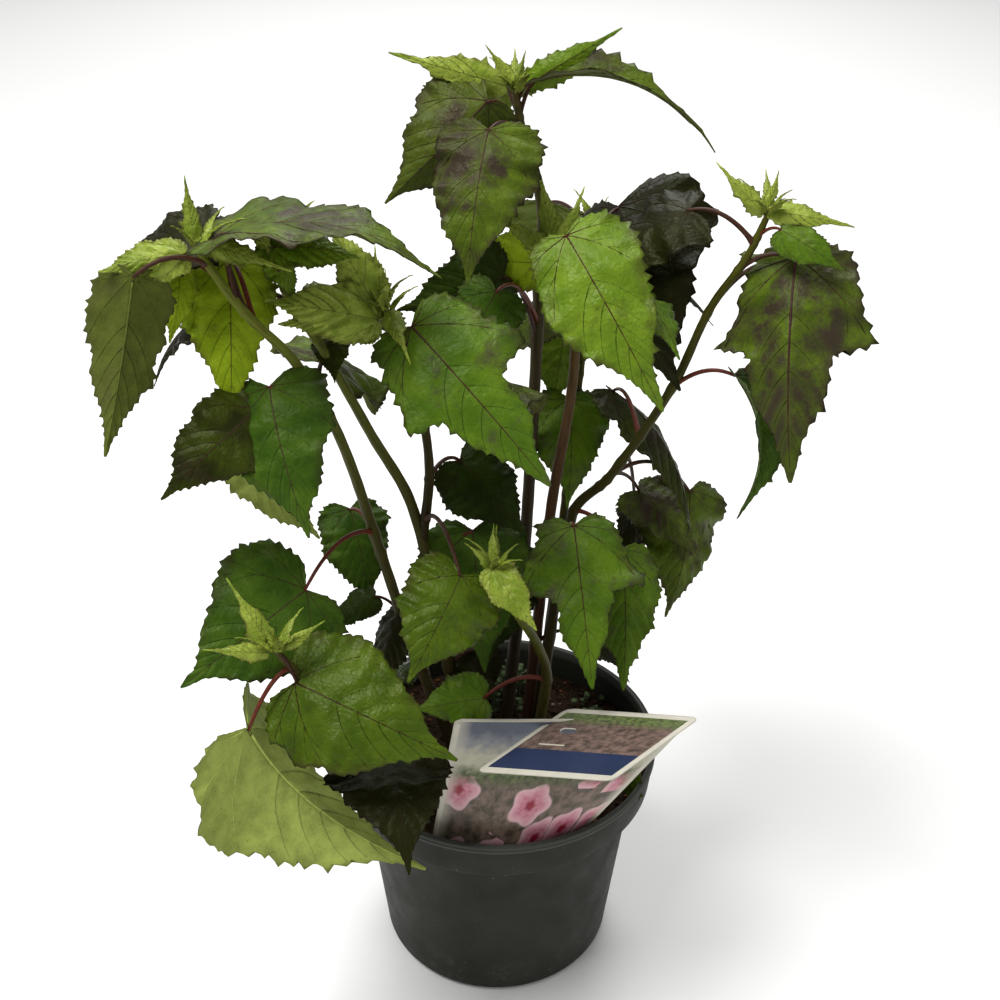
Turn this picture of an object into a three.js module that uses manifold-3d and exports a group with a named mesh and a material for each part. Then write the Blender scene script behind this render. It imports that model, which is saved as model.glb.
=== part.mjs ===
// Potted rose mallow: a young hibiscus with nine shoots in a round nursery pot, with its folded label.
// Millimetres, +Z up, +X to the right and +Y away from whoever looks at the label.
// The origin is the middle of the pot's flat underside.
import * as THREE from "three";
import { mergeVertices } from "three/addons/utils/BufferGeometryUtils.js";
import Module from "manifold-3d";

const wasm = await Module();
wasm.setup();

// Corners nearer than WELD are one corner, and edges shorter than GRAIN are closed up.
const WELD = 1e-4;
const GRAIN = 0.03;

// Pot: driving sizes.
const POT_HEIGHT = 145;
const LIP_RADIUS = 95;
const LIP_HEIGHT = 5;
const BAND_HEIGHT = 23.5;
const BAND_FOOT_RADIUS = 92.5;
const BODY_TOP_RADIUS = 83;
const STEP_DROP = 3.5;
const BASE_RADIUS = 71;
const BASE_ROUND = 5;
const POT_WALL = 1.8;
const POT_SIDES = 48;
const DRAIN_HOLES = 6;
const DRAIN_RADIUS = 5;
const DRAIN_CIRCLE = 48;
const DRAIN_SIDES = 12;

// Soil, stems and leaves.
const CLEARANCE = 0.3;
const SOIL_LEVEL = 127;
const SOIL_MOUND = 2.5;
const SOIL_GAP = 0.45;
const SOIL_RINGS = 4;
const SOIL_SIDES = 24;
const STEM_DEPTH = 6;
const STEM_SIDES = 6;
const STEM_STEP = 24;
const PETIOLE_SIDES = 3;
const PETIOLE_STEPS = 2;
const PETIOLE_FOOT_RADIUS = 1.5;
const PETIOLE_TIP_RADIUS = 1.0;
const PETIOLE_BOW = 0.18;
const PETIOLE_ROOT = 0.06;
const BLADE_THICKNESS = 0.022;
const THINNEST_BLADE = 1.0;
const RIPPLE = 0.05;
const RIPPLE_RATE = 9;
const RIPPLE_PHASE = 1.7;

// Label: the corners of the card that stands in the pot and of the flap folded over its top edge.
const CARD_THICKNESS = 0.7;
const CARD_COLUMNS = 6;
const CARD_ROWS = 4;
const CARD = {
  foot: [
    [-38, -78, 123.4],
    [4, -86, 123.4],
    [40, -72, 123.4],
  ],
  top: [
    [-23, -70, 214],
    [40, -74, 218],
    [104, -68, 215],
  ],
};
const FLAP = {
  foot: [
    [-11, -106, 210],
    [22, -121, 221],
    [55, -134, 230],
  ],
  top: [
    [37, -62, 215],
    [70, -77, 225],
    [103, -90, 233],
  ],
};

// Each shoot follows a smooth curve through its points. Its bare stem ends where its foliage begins.
const SHOOTS = {
  west: { radii: [3.4, 1.8], bare: 0.5, points: [
    [-24, 0, SOIL_LEVEL - STEM_DEPTH], [-50, -5, 215], [-65, -12, 283], [-80, -32, 362],
    [-96, -52, 412], [-116, -62, 442], [-134, -66, 474] ] },
  mid: { radii: [3.4, 1.8], bare: 0.62, points: [
    [-20, 6, SOIL_LEVEL - STEM_DEPTH], [-36, 0, 240], [-48, -6, 310], [-66, -14, 354],
    [-87, -26, 408], [-100, -32, 436], [-108, -36, 466] ] },
  fork: { radii: [2.8, 1.8], bare: 0.3, points: [
    [-42, -3, 284], [-37, -14, 336], [-42, -24, 384], [-56, -34, 434] ] },
  tall: { radii: [4.0, 1.9], bare: 0.42, points: [
    [4, 22, SOIL_LEVEL - STEM_DEPTH], [14, 40, 240], [18, 46, 334], [20, 48, 415],
    [20, 44, 456], [10, 36, 494], [5, 32, 520] ] },
  red: { radii: [3.4, 1.9], bare: 0.66, points: [
    [16, 8, SOIL_LEVEL - STEM_DEPTH], [28, 10, 295], [37, 8, 372], [36, 0, 412], [24, -8, 452] ] },
  back: { radii: [2.8, 1.8], bare: 0.4, points: [
    [24, 34, SOIL_LEVEL - STEM_DEPTH], [38, 60, 262], [44, 76, 330], [50, 92, 392], [52, 98, 430] ] },
  east: { radii: [3.4, 1.8], bare: 0.47, points: [
    [22, 2, SOIL_LEVEL - STEM_DEPTH], [40, 6, 296], [59, 4, 321], [88, 0, 376],
    [103, -4, 421], [118, -8, 450], [126, -10, 474] ] },
  front: { radii: [3.2, 1.8], bare: 0.8, points: [
    [18, -10, SOIL_LEVEL - STEM_DEPTH], [27, -30, 209], [21, -42, 242], [8, -60, 278],
    [-4, -78, 316] ] },
  low: { radii: [3.0, 1.8], bare: 0.7, points: [
    [-30, -20, SOIL_LEVEL - STEM_DEPTH], [-60, -62, 205], [-92, -98, 258], [-106, -112, 290] ] },
};

// Half outlines of a blade as [across, along] in blade lengths, from the leaf joint to the tip,
// with the place on the midrib that each outline point's row starts from.
const OUTLINES = {
  wide: {
    midrib: [0, 0.02, 0.08, 0.19, 0.34, 0.52, 0.72, 0.89, 1],
    edge: [
      [0.01, -0.012], [0.18, -0.11], [0.37, -0.05], [0.46, 0.14], [0.45, 0.34], [0.35, 0.55],
      [0.2, 0.76], [0.07, 0.91], [0.008, 1] ],
  },
  broad: {
    midrib: [0, 0.02, 0.08, 0.19, 0.34, 0.52, 0.72, 0.89, 1],
    edge: [
      [0.01, -0.012], [0.15, -0.09], [0.31, -0.04], [0.38, 0.14], [0.37, 0.34], [0.29, 0.55],
      [0.17, 0.76], [0.06, 0.91], [0.008, 1] ],
  },
  lobed: {
    midrib: [0, 0.02, 0.08, 0.19, 0.34, 0.5, 0.72, 0.89, 1],
    edge: [
      [0.01, -0.012], [0.12, -0.07], [0.24, -0.01], [0.3, 0.18], [0.4, 0.4], [0.25, 0.49],
      [0.19, 0.7], [0.08, 0.88], [0.008, 1] ],
  },
  oval: {
    midrib: [0, 0.02, 0.08, 0.19, 0.34, 0.52, 0.72, 0.89, 1],
    edge: [
      [0.01, -0.012], [0.1, -0.05], [0.21, -0.01], [0.28, 0.14], [0.28, 0.34], [0.23, 0.54],
      [0.14, 0.75], [0.06, 0.9], [0.008, 1] ],
  },
  slim: {
    midrib: [0, 0.03, 0.2, 0.48, 0.78, 1],
    edge: [[0.01, -0.012], [0.08, -0.02], [0.17, 0.18], [0.16, 0.46], [0.08, 0.77], [0.008, 1]],
  },
};

// A leaf on a shoot: how far up the shoot it leaves, then its stalk as [turn, rise, length], its blade
// as [turn, dip, length] and its set as [roll, arch, fold]. Turns run from +X towards +Y, in degrees.
const leaf = (shoot, up, stalk, blade, set, kind) => ({ shoot, up, stalk, blade, set, kind });

const LEAVES = [
  leaf("low", 0.3, [-91, 20, 50], [-68, 60, 64], [0, 0.2, 0.1], "wide"),
  leaf("low", 0.86, [-140, -42, 36], [-5, 46, 116], [160, 0.16, -0.6], "broad"),
  leaf("low", 0.97, [10, -70, 19], [-15, 20, 84], [-45, 0.1, 0.15], "broad"),
  leaf("low", 0.98, [150, 20, 4], [145, -50, 34], [30, 0.1, 0.3], "slim"),
  leaf("low", 0.99, [-170, 0, 4], [-170, -10, 26], [55, 0.1, 0.3], "slim"),
  leaf("low", 0.99, [20, 20, 4], [25, -25, 20], [-50, 0.1, 0.3], "slim"),

  leaf("front", 0.25, [-155, 0, 38], [-165, 0, 40], [50, 0.1, 0.2], "broad"),
  leaf("front", 0.88, [-120, 60, 21], [-40, 40, 36], [-40, 0.1, 0.2], "oval"),
  leaf("front", 0.98, [90, 50, 5], [90, -50, 16], [20, 0.1, 0.3], "slim"),

  leaf("west", 0.22, [170, 35, 18], [-160, 30, 34], [30, 0.1, 0.2], "oval"),
  leaf("west", 0.33, [115, 0, 50], [-70, 55, 56], [5, 0.1, 0.2], "broad"),
  leaf("west", 0.36, [-118, 0, 62], [-142, 21, 74], [45, 0.02, 0.05], "wide"),
  leaf("west", 0.55, [170, -20, 50], [-30, 45, 62], [160, 0.1, 0.3], "broad"),
  leaf("west", 0.57, [-135, 34, 37], [-62, 56, 70], [-30, 0.1, 0.2], "broad"),
  leaf("west", 0.62, [-140, -8, 30], [-145, 32, 58], [50, 0.1, 0.15], "broad"),
  leaf("west", 0.8, [115, 30, 38], [-90, 65, 74], [10, 0.1, 0.2], "oval"),
  leaf("west", 0.86, [160, 80, 30], [0, 10, 96], [-30, 0.16, 0.35], "broad"),
  leaf("west", 0.89, [140, 5, 32], [-110, 65, 34], [55, 0.1, 0.2], "oval"),
  leaf("west", 0.95, [-155, 0, 18], [-95, 62, 76], [-160, 0.12, -0.6], "broad"),
  leaf("west", 0.98, [-165, 0, 6], [-165, 8, 36], [50, 0.08, 0.4], "oval"),
  leaf("west", 0.98, [0, 40, 6], [-20, 10, 34], [-60, 0.1, 0.3], "slim"),
  leaf("west", 0.99, [110, 60, 3], [110, -70, 24], [5, 0, 0.3], "slim"),

  leaf("mid", 0.2, [11, 54, 40], [-80, 57, 76], [-9, 0.1, 0.1], "broad"),
  leaf("mid", 0.86, [150, 70, 23], [-35, 60, 30], [-20, 0.1, 0.2], "oval"),
  leaf("mid", 0.7, [60, -10, 12], [-80, 50, 24], [0, 0.1, 0.2], "broad"),
  leaf("mid", 0.89, [-90, 60, 22], [5, 8, 38], [-40, 0.1, 0.2], "oval"),
  leaf("mid", 0.98, [60, 40, 4], [40, -30, 24], [-40, 0.1, 0.3], "slim"),

  leaf("fork", 0.1, [-73, 8, 74], [-126, 43, 56], [37, 0.1, 0.2], "wide"),
  leaf("fork", 0.28, [65, -10, 36], [-30, 40, 55], [-40, 0.1, 0.2], "broad"),
  leaf("fork", 0.51, [-95, 65, 76], [-30, 40, 94], [-45, 0.08, 0.1], "lobed"),
  leaf("fork", 0.93, [-135, 30, 8], [-175, -12, 52], [65, 0.12, 0.4], "oval"),
  leaf("fork", 0.95, [-165, 10, 6], [-168, 0, 44], [60, 0.12, 0.3], "oval"),
  leaf("fork", 0.97, [160, 30, 6], [150, -55, 42], [50, 0.1, 0.4], "oval"),
  leaf("fork", 0.98, [130, 5, 6], [95, -70, 24], [0, 0.05, 0.3], "slim"),
  leaf("fork", 0.99, [-60, 5, 6], [-70, 20, 30], [-20, 0.1, 0.3], "slim"),

  leaf("tall", 0.43, [-125, 55, 56], [-170, 15, 55], [80, 0.1, 0.2], "broad"),
  leaf("tall", 0.45, [-115, 35, 64], [-140, 50, 48], [45, 0.1, 0.2], "broad"),
  leaf("tall", 0.49, [-100, 50, 28], [175, 0, 40], [70, 0.1, 0.2], "broad"),
  leaf("tall", 0.8, [-116, 26, 48], [-105, 60, 70], [5, 0.1, 0.2], "broad"),
  leaf("tall", 0.84, [-135, 40, 32], [-165, 42, 66], [75, 0.08, 0.5], "broad"),
  leaf("tall", 0.9, [-45, 65, 20], [-10, 12, 80], [-10, 0.16, -0.6], "slim"),
  leaf("tall", 0.94, [-35, 60, 12], [5, -30, 44], [-75, 0.12, 0.3], "slim"),
  leaf("tall", 0.97, [-145, 40, 8], [175, -14, 50], [75, 0.12, 0.3], "slim"),
  leaf("tall", 0.98, [-125, 65, 6], [165, -50, 18], [70, 0, 0.3], "slim"),
  leaf("tall", 0.98, [60, 65, 4], [60, -60, 14], [-40, 0, 0.3], "slim"),

  leaf("red", 0.72, [-105, 65, 64], [-40, 50, 90], [-45, 0.12, 0.1], "oval"),
  leaf("red", 0.8, [60, 38, 62], [-60, 52, 96], [-55, 0.2, 0.5], "wide"),
  leaf("red", 0.97, [90, 60, 4], [130, -70, 34], [40, 0, 0.3], "slim"),
  leaf("red", 0.98, [170, 45, 4], [170, -30, 28], [70, 0.1, 0.3], "slim"),
  leaf("red", 0.98, [40, 25, 4], [35, -65, 28], [-50, 0.1, 0.3], "slim"),

  leaf("back", 0.3, [88, 86, 61], [-91, 59, 61], [14, 0.1, 0.2], "broad"),
  leaf("back", 0.5, [120, 70, 45], [-110, 65, 46], [25, 0.1, 0.2], "broad"),

  leaf("east", 0.09, [70, 5, 60], [-60, 55, 52], [20, 0.1, 0.2], "broad"),
  leaf("east", 0.14, [-85, 50, 54], [-80, 50, 82], [-10, 0.1, 0.1], "lobed"),
  leaf("east", 0.18, [-25, -30, 34], [-90, 50, 74], [5, 0.1, 0.2], "oval"),
  leaf("east", 0.29, [57, -28, 55], [-36, 38, 47], [-16, 0.1, 0.2], "broad"),
  leaf("east", 0.32, [45, -26, 86], [-110, 60, 74], [40, 0.1, 0.3], "broad"),
  leaf("east", 0.36, [75, -45, 100], [-95, 55, 62], [60, 0.1, 0.3], "oval"),
  leaf("east", 0.41, [100, 0, 59], [-45, 45, 88], [25, 0.12, 0.3], "oval"),
  leaf("east", 0.5, [-20, 22, 34], [-85, 60, 70], [40, 0.2, -0.7], "oval"),
  leaf("east", 0.79, [-15, 20, 28], [-92, 60, 104], [-20, 0.12, 0.45], "lobed"),
  leaf("east", 0.9, [-45, 30, 14], [-25, 25, 34], [-60, 0.1, 0.2], "oval"),
  leaf("east", 0.96, [-160, 65, 4], [155, -40, 28], [70, 0.1, 0.3], "slim"),
  leaf("east", 0.97, [-65, 60, 4], [-15, 5, 34], [-60, 0.1, 0.3], "slim"),
  leaf("east", 0.98, [100, 60, 4], [60, -50, 16], [-40, 0.1, 0.3], "slim"),
];

// The far side of the crown follows a seeded rule: a shoot's leaves there climb it in even steps and
// swing to either side of one turn.
const FAR_SIDE = [
  { shoot: "west", seed: 2617, count: 2, from: 0.56, to: 0.96, turn: 115 },
  { shoot: "mid", seed: 127, count: 2, from: 0.66, to: 0.92, turn: 80 },
  { shoot: "fork", seed: 7, count: 1, from: 0.45, to: 0.9, turn: 85 },
  { shoot: "tall", seed: 88, count: 2, from: 0.46, to: 0.9, turn: 85 },
  { shoot: "red", seed: 46, count: 1, from: 0.7, to: 0.92, turn: 60 },
  { shoot: "back", seed: 31, count: 4, from: 0.44, to: 0.98, turn: 95 },
  { shoot: "east", seed: 947, count: 2, from: 0.52, to: 0.92, turn: 60 },
];
const FAR_SEED_STEP = 7919;
const FAR_SWING = { middle: 60, spread: 50 };
const FAR_STALK = { rise: 25, riseSpread: 35, length: 34, lengthSpread: 12 };
const FAR_BLADE = { dip: 45, dipSpread: 25, length: 62, lengthSpread: 14 };
const FAR_SET = { rollSpread: 30, arch: 0.1, fold: 0.2 };

// A small whole-number random sequence: the next share from 0 to 1 at each call.
function shares(seed) {
  let state = seed;
  return () => {
    state = (state * 16807) % 2147483647;
    return state / 2147483647;
  };
}

function farLeaves({ shoot, seed, count, from, to, turn }) {
  const next = shares(seed * FAR_SEED_STEP);
  const about = (middle, spread) => middle + spread * (2 * next() - 1);
  return Array.from({ length: count }, (_, i) => {
    const up = from + ((to - from) * (i + next())) / count;
    const side = i % 2 ? 1 : -1;
    const heading = turn + side * about(FAR_SWING.middle, FAR_SWING.spread);
    const stalk = [
      heading,
      about(FAR_STALK.rise, FAR_STALK.riseSpread),
      about(FAR_STALK.length, FAR_STALK.lengthSpread),
    ];
    const blade = [
      heading + about(0, FAR_SWING.spread),
      about(FAR_BLADE.dip, FAR_BLADE.dipSpread),
      about(FAR_BLADE.length, FAR_BLADE.lengthSpread),
    ];
    const set = [about(0, FAR_SET.rollSpread), FAR_SET.arch, FAR_SET.fold];
    return leaf(shoot, up, stalk, blade, set, i % 2 ? "broad" : "wide");
  });
}

// Points of a closed mesh or of a manifold-3d solid, in either direction.
function toSolid(geometry) {
  geometry.deleteAttribute("normal");
  geometry.deleteAttribute("uv");
  const merged = mergeVertices(geometry, WELD);
  const mesh = new wasm.Mesh({
    numProp: 3,
    vertProperties: merged.getAttribute("position").array,
    triVerts: new Uint32Array(merged.index.array),
  });
  return new wasm.Manifold(mesh);
}

function toGeometry(solid) {
  const { numProp, vertProperties, triVerts } = solid.getMesh();
  const geometry = new THREE.BufferGeometry();
  const places = new THREE.InterleavedBuffer(vertProperties, numProp);
  geometry.setAttribute("position", new THREE.InterleavedBufferAttribute(places, 3, 0));
  geometry.setIndex(new THREE.BufferAttribute(triVerts, 1));
  const open = geometry.toNonIndexed();
  open.computeVertexNormals();
  return open;
}

const largest = (solid) =>
  solid.decompose().reduce((best, body) => (body.volume() > best.volume() ? body : best));

const union = (solids) => solids.reduce((sum, solid) => sum.add(solid));

// Directions and curves.
function bearing(turn, rise) {
  const [t, r] = [turn, rise].map(THREE.MathUtils.degToRad);
  return new THREE.Vector3(Math.cos(t) * Math.cos(r), Math.sin(t) * Math.cos(r), Math.sin(r));
}

// Every shoot is a smooth curve through its points, with this tension.
const SHOOT_TENSION = 0.5;

function shootCurve(shoot) {
  const points = SHOOTS[shoot].points.map((p) => new THREE.Vector3(...p));
  return new THREE.CatmullRomCurve3(points, false, "catmullrom", SHOOT_TENSION);
}

// A tapering limb: a cylinder bent along a stretch of a curve. The level direction is never along it.
function limb(curve, [from, to], [footRadius, tipRadius], level, sides, steps) {
  const tube = new THREE.CylinderGeometry(1, 1, 1, sides, steps);
  const places = tube.getAttribute("position");
  for (let i = 0; i < places.count; i++) {
    const share = places.getY(i) + 0.5;
    const t = THREE.MathUtils.lerp(from, to, share);
    const radius = THREE.MathUtils.lerp(footRadius, tipRadius, share);
    const along = curve.getTangent(t);
    const side = new THREE.Vector3().crossVectors(along, level).normalize();
    const other = new THREE.Vector3().crossVectors(side, along);
    const place = curve.getPoint(t);
    place.addScaledVector(side, places.getX(i) * radius);
    place.addScaledVector(other, places.getZ(i) * radius);
    places.setXYZ(i, place.x, place.y, place.z);
  }
  return toSolid(tube);
}

function shootLimb(shoot, from, to, grown) {
  const curve = shootCurve(shoot);
  const [foot, tip] = SHOOTS[shoot].radii;
  const radii = [from, to].map((t) => THREE.MathUtils.lerp(foot, tip, t) + grown);
  const steps = Math.ceil(((to - from) * curve.getLength()) / STEM_STEP);
  return limb(curve, [from, to], radii, new THREE.Vector3(0, 1, 0), STEM_SIDES, steps);
}

// The share of a shoot that the clearance takes up where its bare stem ends.
function clearShare(shoot) {
  const curve = shootCurve(shoot);
  const { bare } = SHOOTS[shoot];
  const step = 0.001;
  return (step * CLEARANCE) / curve.getPoint(bare).distanceTo(curve.getPoint(bare + step));
}

// The blade's own frame: along its midrib, across it, and up out of its upper face.
function bladeFrame({ blade: [turn, dip], set: [roll] }) {
  const along = bearing(turn, -dip);
  const level = bearing(turn - 90, 0);
  const raised = new THREE.Vector3().crossVectors(level, along);
  const angle = THREE.MathUtils.degToRad(roll);
  const side = level.clone().multiplyScalar(Math.cos(angle)).addScaledVector(raised, Math.sin(angle));
  const up = raised.clone().multiplyScalar(Math.cos(angle)).addScaledVector(level, -Math.sin(angle));
  return { along, side, up };
}

// The place on a blade's middle surface at [across, along] of its flat outline.
function bladePlace(leaf, joint, across, along) {
  const [, , length] = leaf.blade;
  const [, arch, fold] = leaf.set;
  const frame = bladeFrame(leaf);
  const spread = Math.abs(across) / Math.hypot(1, fold);
  const wave = RIPPLE * Math.sin(RIPPLE_RATE * along + leaf.phase) * Math.abs(across);
  const lift = arch * 4 * along * (1 - along) - fold * spread + wave;
  return joint
    .clone()
    .addScaledVector(frame.along, along * length)
    .addScaledVector(frame.side, Math.sign(across) * spread * length)
    .addScaledVector(frame.up, lift * length);
}

function stalkEnds(leaf) {
  const root = shootCurve(leaf.shoot).getPoint(leaf.up);
  const [turn, rise, length] = leaf.stalk;
  const joint = root.clone().addScaledVector(bearing(turn, rise), length);
  return { root, joint };
}

function stalkSolid(leaf, grown) {
  const { root, joint } = stalkEnds(leaf);
  const end = bladePlace(leaf, joint, 0, PETIOLE_ROOT);
  const middle = root.clone().lerp(end, 0.5);
  middle.z += 2 * PETIOLE_BOW * root.distanceTo(end);
  const curve = new THREE.QuadraticBezierCurve3(root, middle, end);
  const level = new THREE.Vector3().crossVectors(end.clone().sub(root), new THREE.Vector3(0, 0, 1));
  const radii = [PETIOLE_FOOT_RADIUS + grown, PETIOLE_TIP_RADIUS + grown];
  return limb(curve, [0, 1], radii, level.normalize(), PETIOLE_SIDES, PETIOLE_STEPS);
}

// A four-sided cylinder whose opposite faces are split along the same diagonals, so that they keep
// apart however it is bent.
function foldingSheet(rows) {
  const sheet = new THREE.CylinderGeometry(1, 1, 1, 4, rows);
  const index = sheet.getIndex();
  const cornersPerQuad = 6;
  for (const column of [1, 3]) {
    for (let row = 0; row < rows; row++) {
      const first = cornersPerQuad * (column * rows + row);
      const [a, b, d, , c] = index.array.slice(first, first + cornersPerQuad);
      index.array.set([a, b, c, a, c, d], first);
    }
  }
  return sheet;
}

// A blade: a four-sided cylinder bent flat, thickest along its midrib.
function bladeSolid(leaf, grown) {
  const { joint } = stalkEnds(leaf);
  const [, , length] = leaf.blade;
  const { midrib, edge } = OUTLINES[leaf.kind];
  const rows = edge.length - 1;
  const half = Math.max(THINNEST_BLADE, BLADE_THICKNESS * length) / 2 + grown;
  const { up } = bladeFrame(leaf);
  const sheet = foldingSheet(rows);
  const places = sheet.getAttribute("position");
  for (let i = 0; i < places.count; i++) {
    const row = Math.round(rows * (places.getY(i) + 0.5));
    const across = Math.round(places.getX(i));
    const along = across === 0 ? midrib[row] : edge[row][1];
    const place = bladePlace(leaf, joint, across * (edge[row][0] + grown / length), along);
    place.addScaledVector(up, Math.round(places.getZ(i)) * half);
    places.setXYZ(i, place.x, place.y, place.z);
  }
  return toSolid(sheet);
}

const leafSolid = (leaf, grown = 0) => stalkSolid(leaf, grown).add(bladeSolid(leaf, grown));

// The pot's wall, from the middle of its floor: outside up to the lip, and inside from the floor up.
const BAND_FOOT = POT_HEIGHT - BAND_HEIGHT;
const BODY_TOP = BAND_FOOT - STEP_DROP;
const LIP_FOOT = POT_HEIGHT - LIP_HEIGHT;
const LIP_ROUND = 1;
const ROUND_MIDDLE = 1 - Math.SQRT1_2;
const POT_OUTSIDE = [
  [0, 0],
  [BASE_RADIUS - BASE_ROUND, 0],
  [BASE_RADIUS - BASE_ROUND * ROUND_MIDDLE, BASE_ROUND * ROUND_MIDDLE],
  [BASE_RADIUS, BASE_ROUND],
  [BODY_TOP_RADIUS, BODY_TOP],
  [BAND_FOOT_RADIUS, BAND_FOOT],
  [LIP_RADIUS - LIP_ROUND, LIP_FOOT],
  [LIP_RADIUS, LIP_FOOT + LIP_ROUND],
  [LIP_RADIUS, POT_HEIGHT - LIP_ROUND],
  [LIP_RADIUS - LIP_ROUND, POT_HEIGHT],
];
const POT_INSIDE = [
  [0, POT_WALL],
  [BASE_RADIUS - BASE_ROUND, POT_WALL],
  [BASE_RADIUS - POT_WALL, BASE_ROUND],
  [BODY_TOP_RADIUS - POT_WALL, BODY_TOP + 1],
  [BAND_FOOT_RADIUS - POT_WALL, BAND_FOOT + POT_WALL],
];
const POT_MOUTH = [LIP_RADIUS - 2 * POT_WALL, POT_HEIGHT];

function turned(profile, sides) {
  const geometry = new THREE.LatheGeometry(profile.map((p) => new THREE.Vector2(...p)), sides);
  geometry.rotateX(Math.PI / 2);
  return toSolid(geometry);
}

// The pot has a collar band under its lip and drain holes through its floor.
function potSolid() {
  const wall = turned([...POT_OUTSIDE, POT_MOUTH, ...POT_INSIDE.toReversed()], POT_SIDES);
  const holes = Array.from({ length: DRAIN_HOLES }, (_, i) => {
    const hole = new THREE.CylinderGeometry(DRAIN_RADIUS, DRAIN_RADIUS, 4 * POT_WALL, DRAIN_SIDES);
    hole.rotateX(Math.PI / 2);
    const turn = (2 * Math.PI * i) / DRAIN_HOLES;
    hole.translate(DRAIN_CIRCLE * Math.cos(turn), DRAIN_CIRCLE * Math.sin(turn), 0);
    return toSolid(hole);
  });
  return wall.subtract(union(holes));
}

// The soil fills the pot to a low mound, clear of its wall and of everything that stands in it.
function soilSolid(sockets) {
  const profile = POT_INSIDE.map(([r, z]) => [Math.max(0, r - SOIL_GAP), z + SOIL_GAP]);
  const edge = profile.at(-1)[0];
  for (let ring = 0; ring <= SOIL_RINGS; ring++) {
    const share = 1 - ring / SOIL_RINGS;
    const drop = SOIL_MOUND * (1 - Math.cos((Math.PI / 2) * share));
    profile.push([edge * share, SOIL_LEVEL - drop]);
  }
  return turned(profile, SOIL_SIDES).subtract(union(sockets));
}

// A card: a thin sheet ruled between a curved foot edge and a curved top edge, grown on every side.
function cardSolid({ foot, top }, grown = 0) {
  const edges = [foot, top].map((edge) => {
    const [a, b, c] = edge.map((p) => new THREE.Vector3(...p));
    const middle = b.clone().multiplyScalar(2).sub(a.clone().add(c).multiplyScalar(0.5));
    return new THREE.QuadraticBezierCurve3(a, middle, c);
  });
  const rise = edges[1].getPoint(0.5).sub(edges[0].getPoint(0.5));
  const width = edges[0].getPoint(0).distanceTo(edges[0].getPoint(1));
  const face = new THREE.Vector3().crossVectors(edges[0].getTangent(0.5), rise).normalize();
  const wide = 1 + (2 * grown) / width;
  const high = 1 + (2 * grown) / rise.length();
  const thick = CARD_THICKNESS + 2 * grown;
  const sheet = new THREE.BoxGeometry(wide, high, thick, CARD_COLUMNS, CARD_ROWS, 1);
  const places = sheet.getAttribute("position");
  for (let i = 0; i < places.count; i++) {
    const [below, above] = edges.map((edge) => edge.getPoint(places.getX(i) + 0.5));
    const place = below.lerp(above, places.getY(i) + 0.5).addScaledVector(face, places.getZ(i));
    places.setXYZ(i, place.x, place.y, place.z);
  }
  return toSolid(sheet);
}

const group = new THREE.Group();

function addNode(name, solid, colour, roughness) {
  const material = new THREE.MeshStandardMaterial({ color: colour, roughness, metalness: 0 });
  const mesh = new THREE.Mesh(toGeometry(solid.simplify(GRAIN)), material);
  mesh.name = name;
  group.add(mesh);
}

LEAVES.push(...FAR_SIDE.flatMap(farLeaves));
LEAVES.forEach((item, i) => {
  item.phase = i * RIPPLE_PHASE;
});

const names = Object.keys(SHOOTS);
const SOCKET_TOP = 0.2;

addNode("pot", potSolid(), 0x3c403d, 0.6);
const sockets = names.map((name) => shootLimb(name, 0, SOCKET_TOP, CLEARANCE));
addNode("soil", soilSolid([...sockets, cardSolid(CARD, CLEARANCE)]), 0x2a1d15, 0.95);
addNode("label", cardSolid(CARD).add(cardSolid(FLAP)), 0xd9d4c2, 0.4);

// What stands so far, grown by the clearance, for later pieces to keep clear of.
const standing = [];

// A piece cut clear of the grown solids that it meets, without the scraps that the cuts leave.
function clearOf(solid, grown) {
  const box = solid.boundingBox();
  const meets = grown.filter(({ box: other }) =>
    [0, 1, 2].every((k) => box.min[k] < other.max[k] && other.min[k] < box.max[k]));
  return meets.reduce((piece, other) => largest(piece.subtract(other.solid)), solid);
}

function keepClear(solid) {
  standing.push({ solid, box: solid.boundingBox() });
}

const stemOf = (name, grown) => shootLimb(name, 0, SHOOTS[name].bare, grown);

for (const name of names) {
  addNode("stem_" + name, clearOf(stemOf(name, 0), standing), 0x6f6d3a, 0.6);
  keepClear(stemOf(name, CLEARANCE));
}

for (const name of names) {
  const { bare } = SHOOTS[name];
  const own = LEAVES.filter((item) => item.shoot === name);
  const low = own.filter((item) => item.up <= bare);
  const crown = own.filter((item) => item.up > bare);
  low.forEach((item, i) => {
    addNode("leaf_" + name + "_" + (i + 1), clearOf(leafSolid(item), standing), 0x4c7428, 0.5);
    keepClear(leafSolid(item, CLEARANCE));
  });
  const twig = shootLimb(name, bare + clearShare(name), 1, 0);
  const mass = union([twig, ...crown.map((item) => leafSolid(item))]);
  addNode("foliage_" + name, clearOf(mass, standing), 0x55802c, 0.5);
  crown.forEach((item) => keepClear(leafSolid(item, CLEARANCE)));
  keepClear(shootLimb(name, bare, 1, CLEARANCE));
}

export default group;
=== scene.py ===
"""Looks of a potted rose mallow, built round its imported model.

Shoots and leaves keep the model's sizes and rule, apart from three leaves and one thinner shoot
that follow the photograph more closely. Sizes are in millimetres until a mesh is made, in metres,
+Z up, in the model's own frame.
"""
import math
from itertools import combinations

import bpy
import numpy as np
from mathutils import Matrix, Vector, noise
from mathutils.bvhtree import BVHTree
from mathutils.kdtree import KDTree


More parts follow.
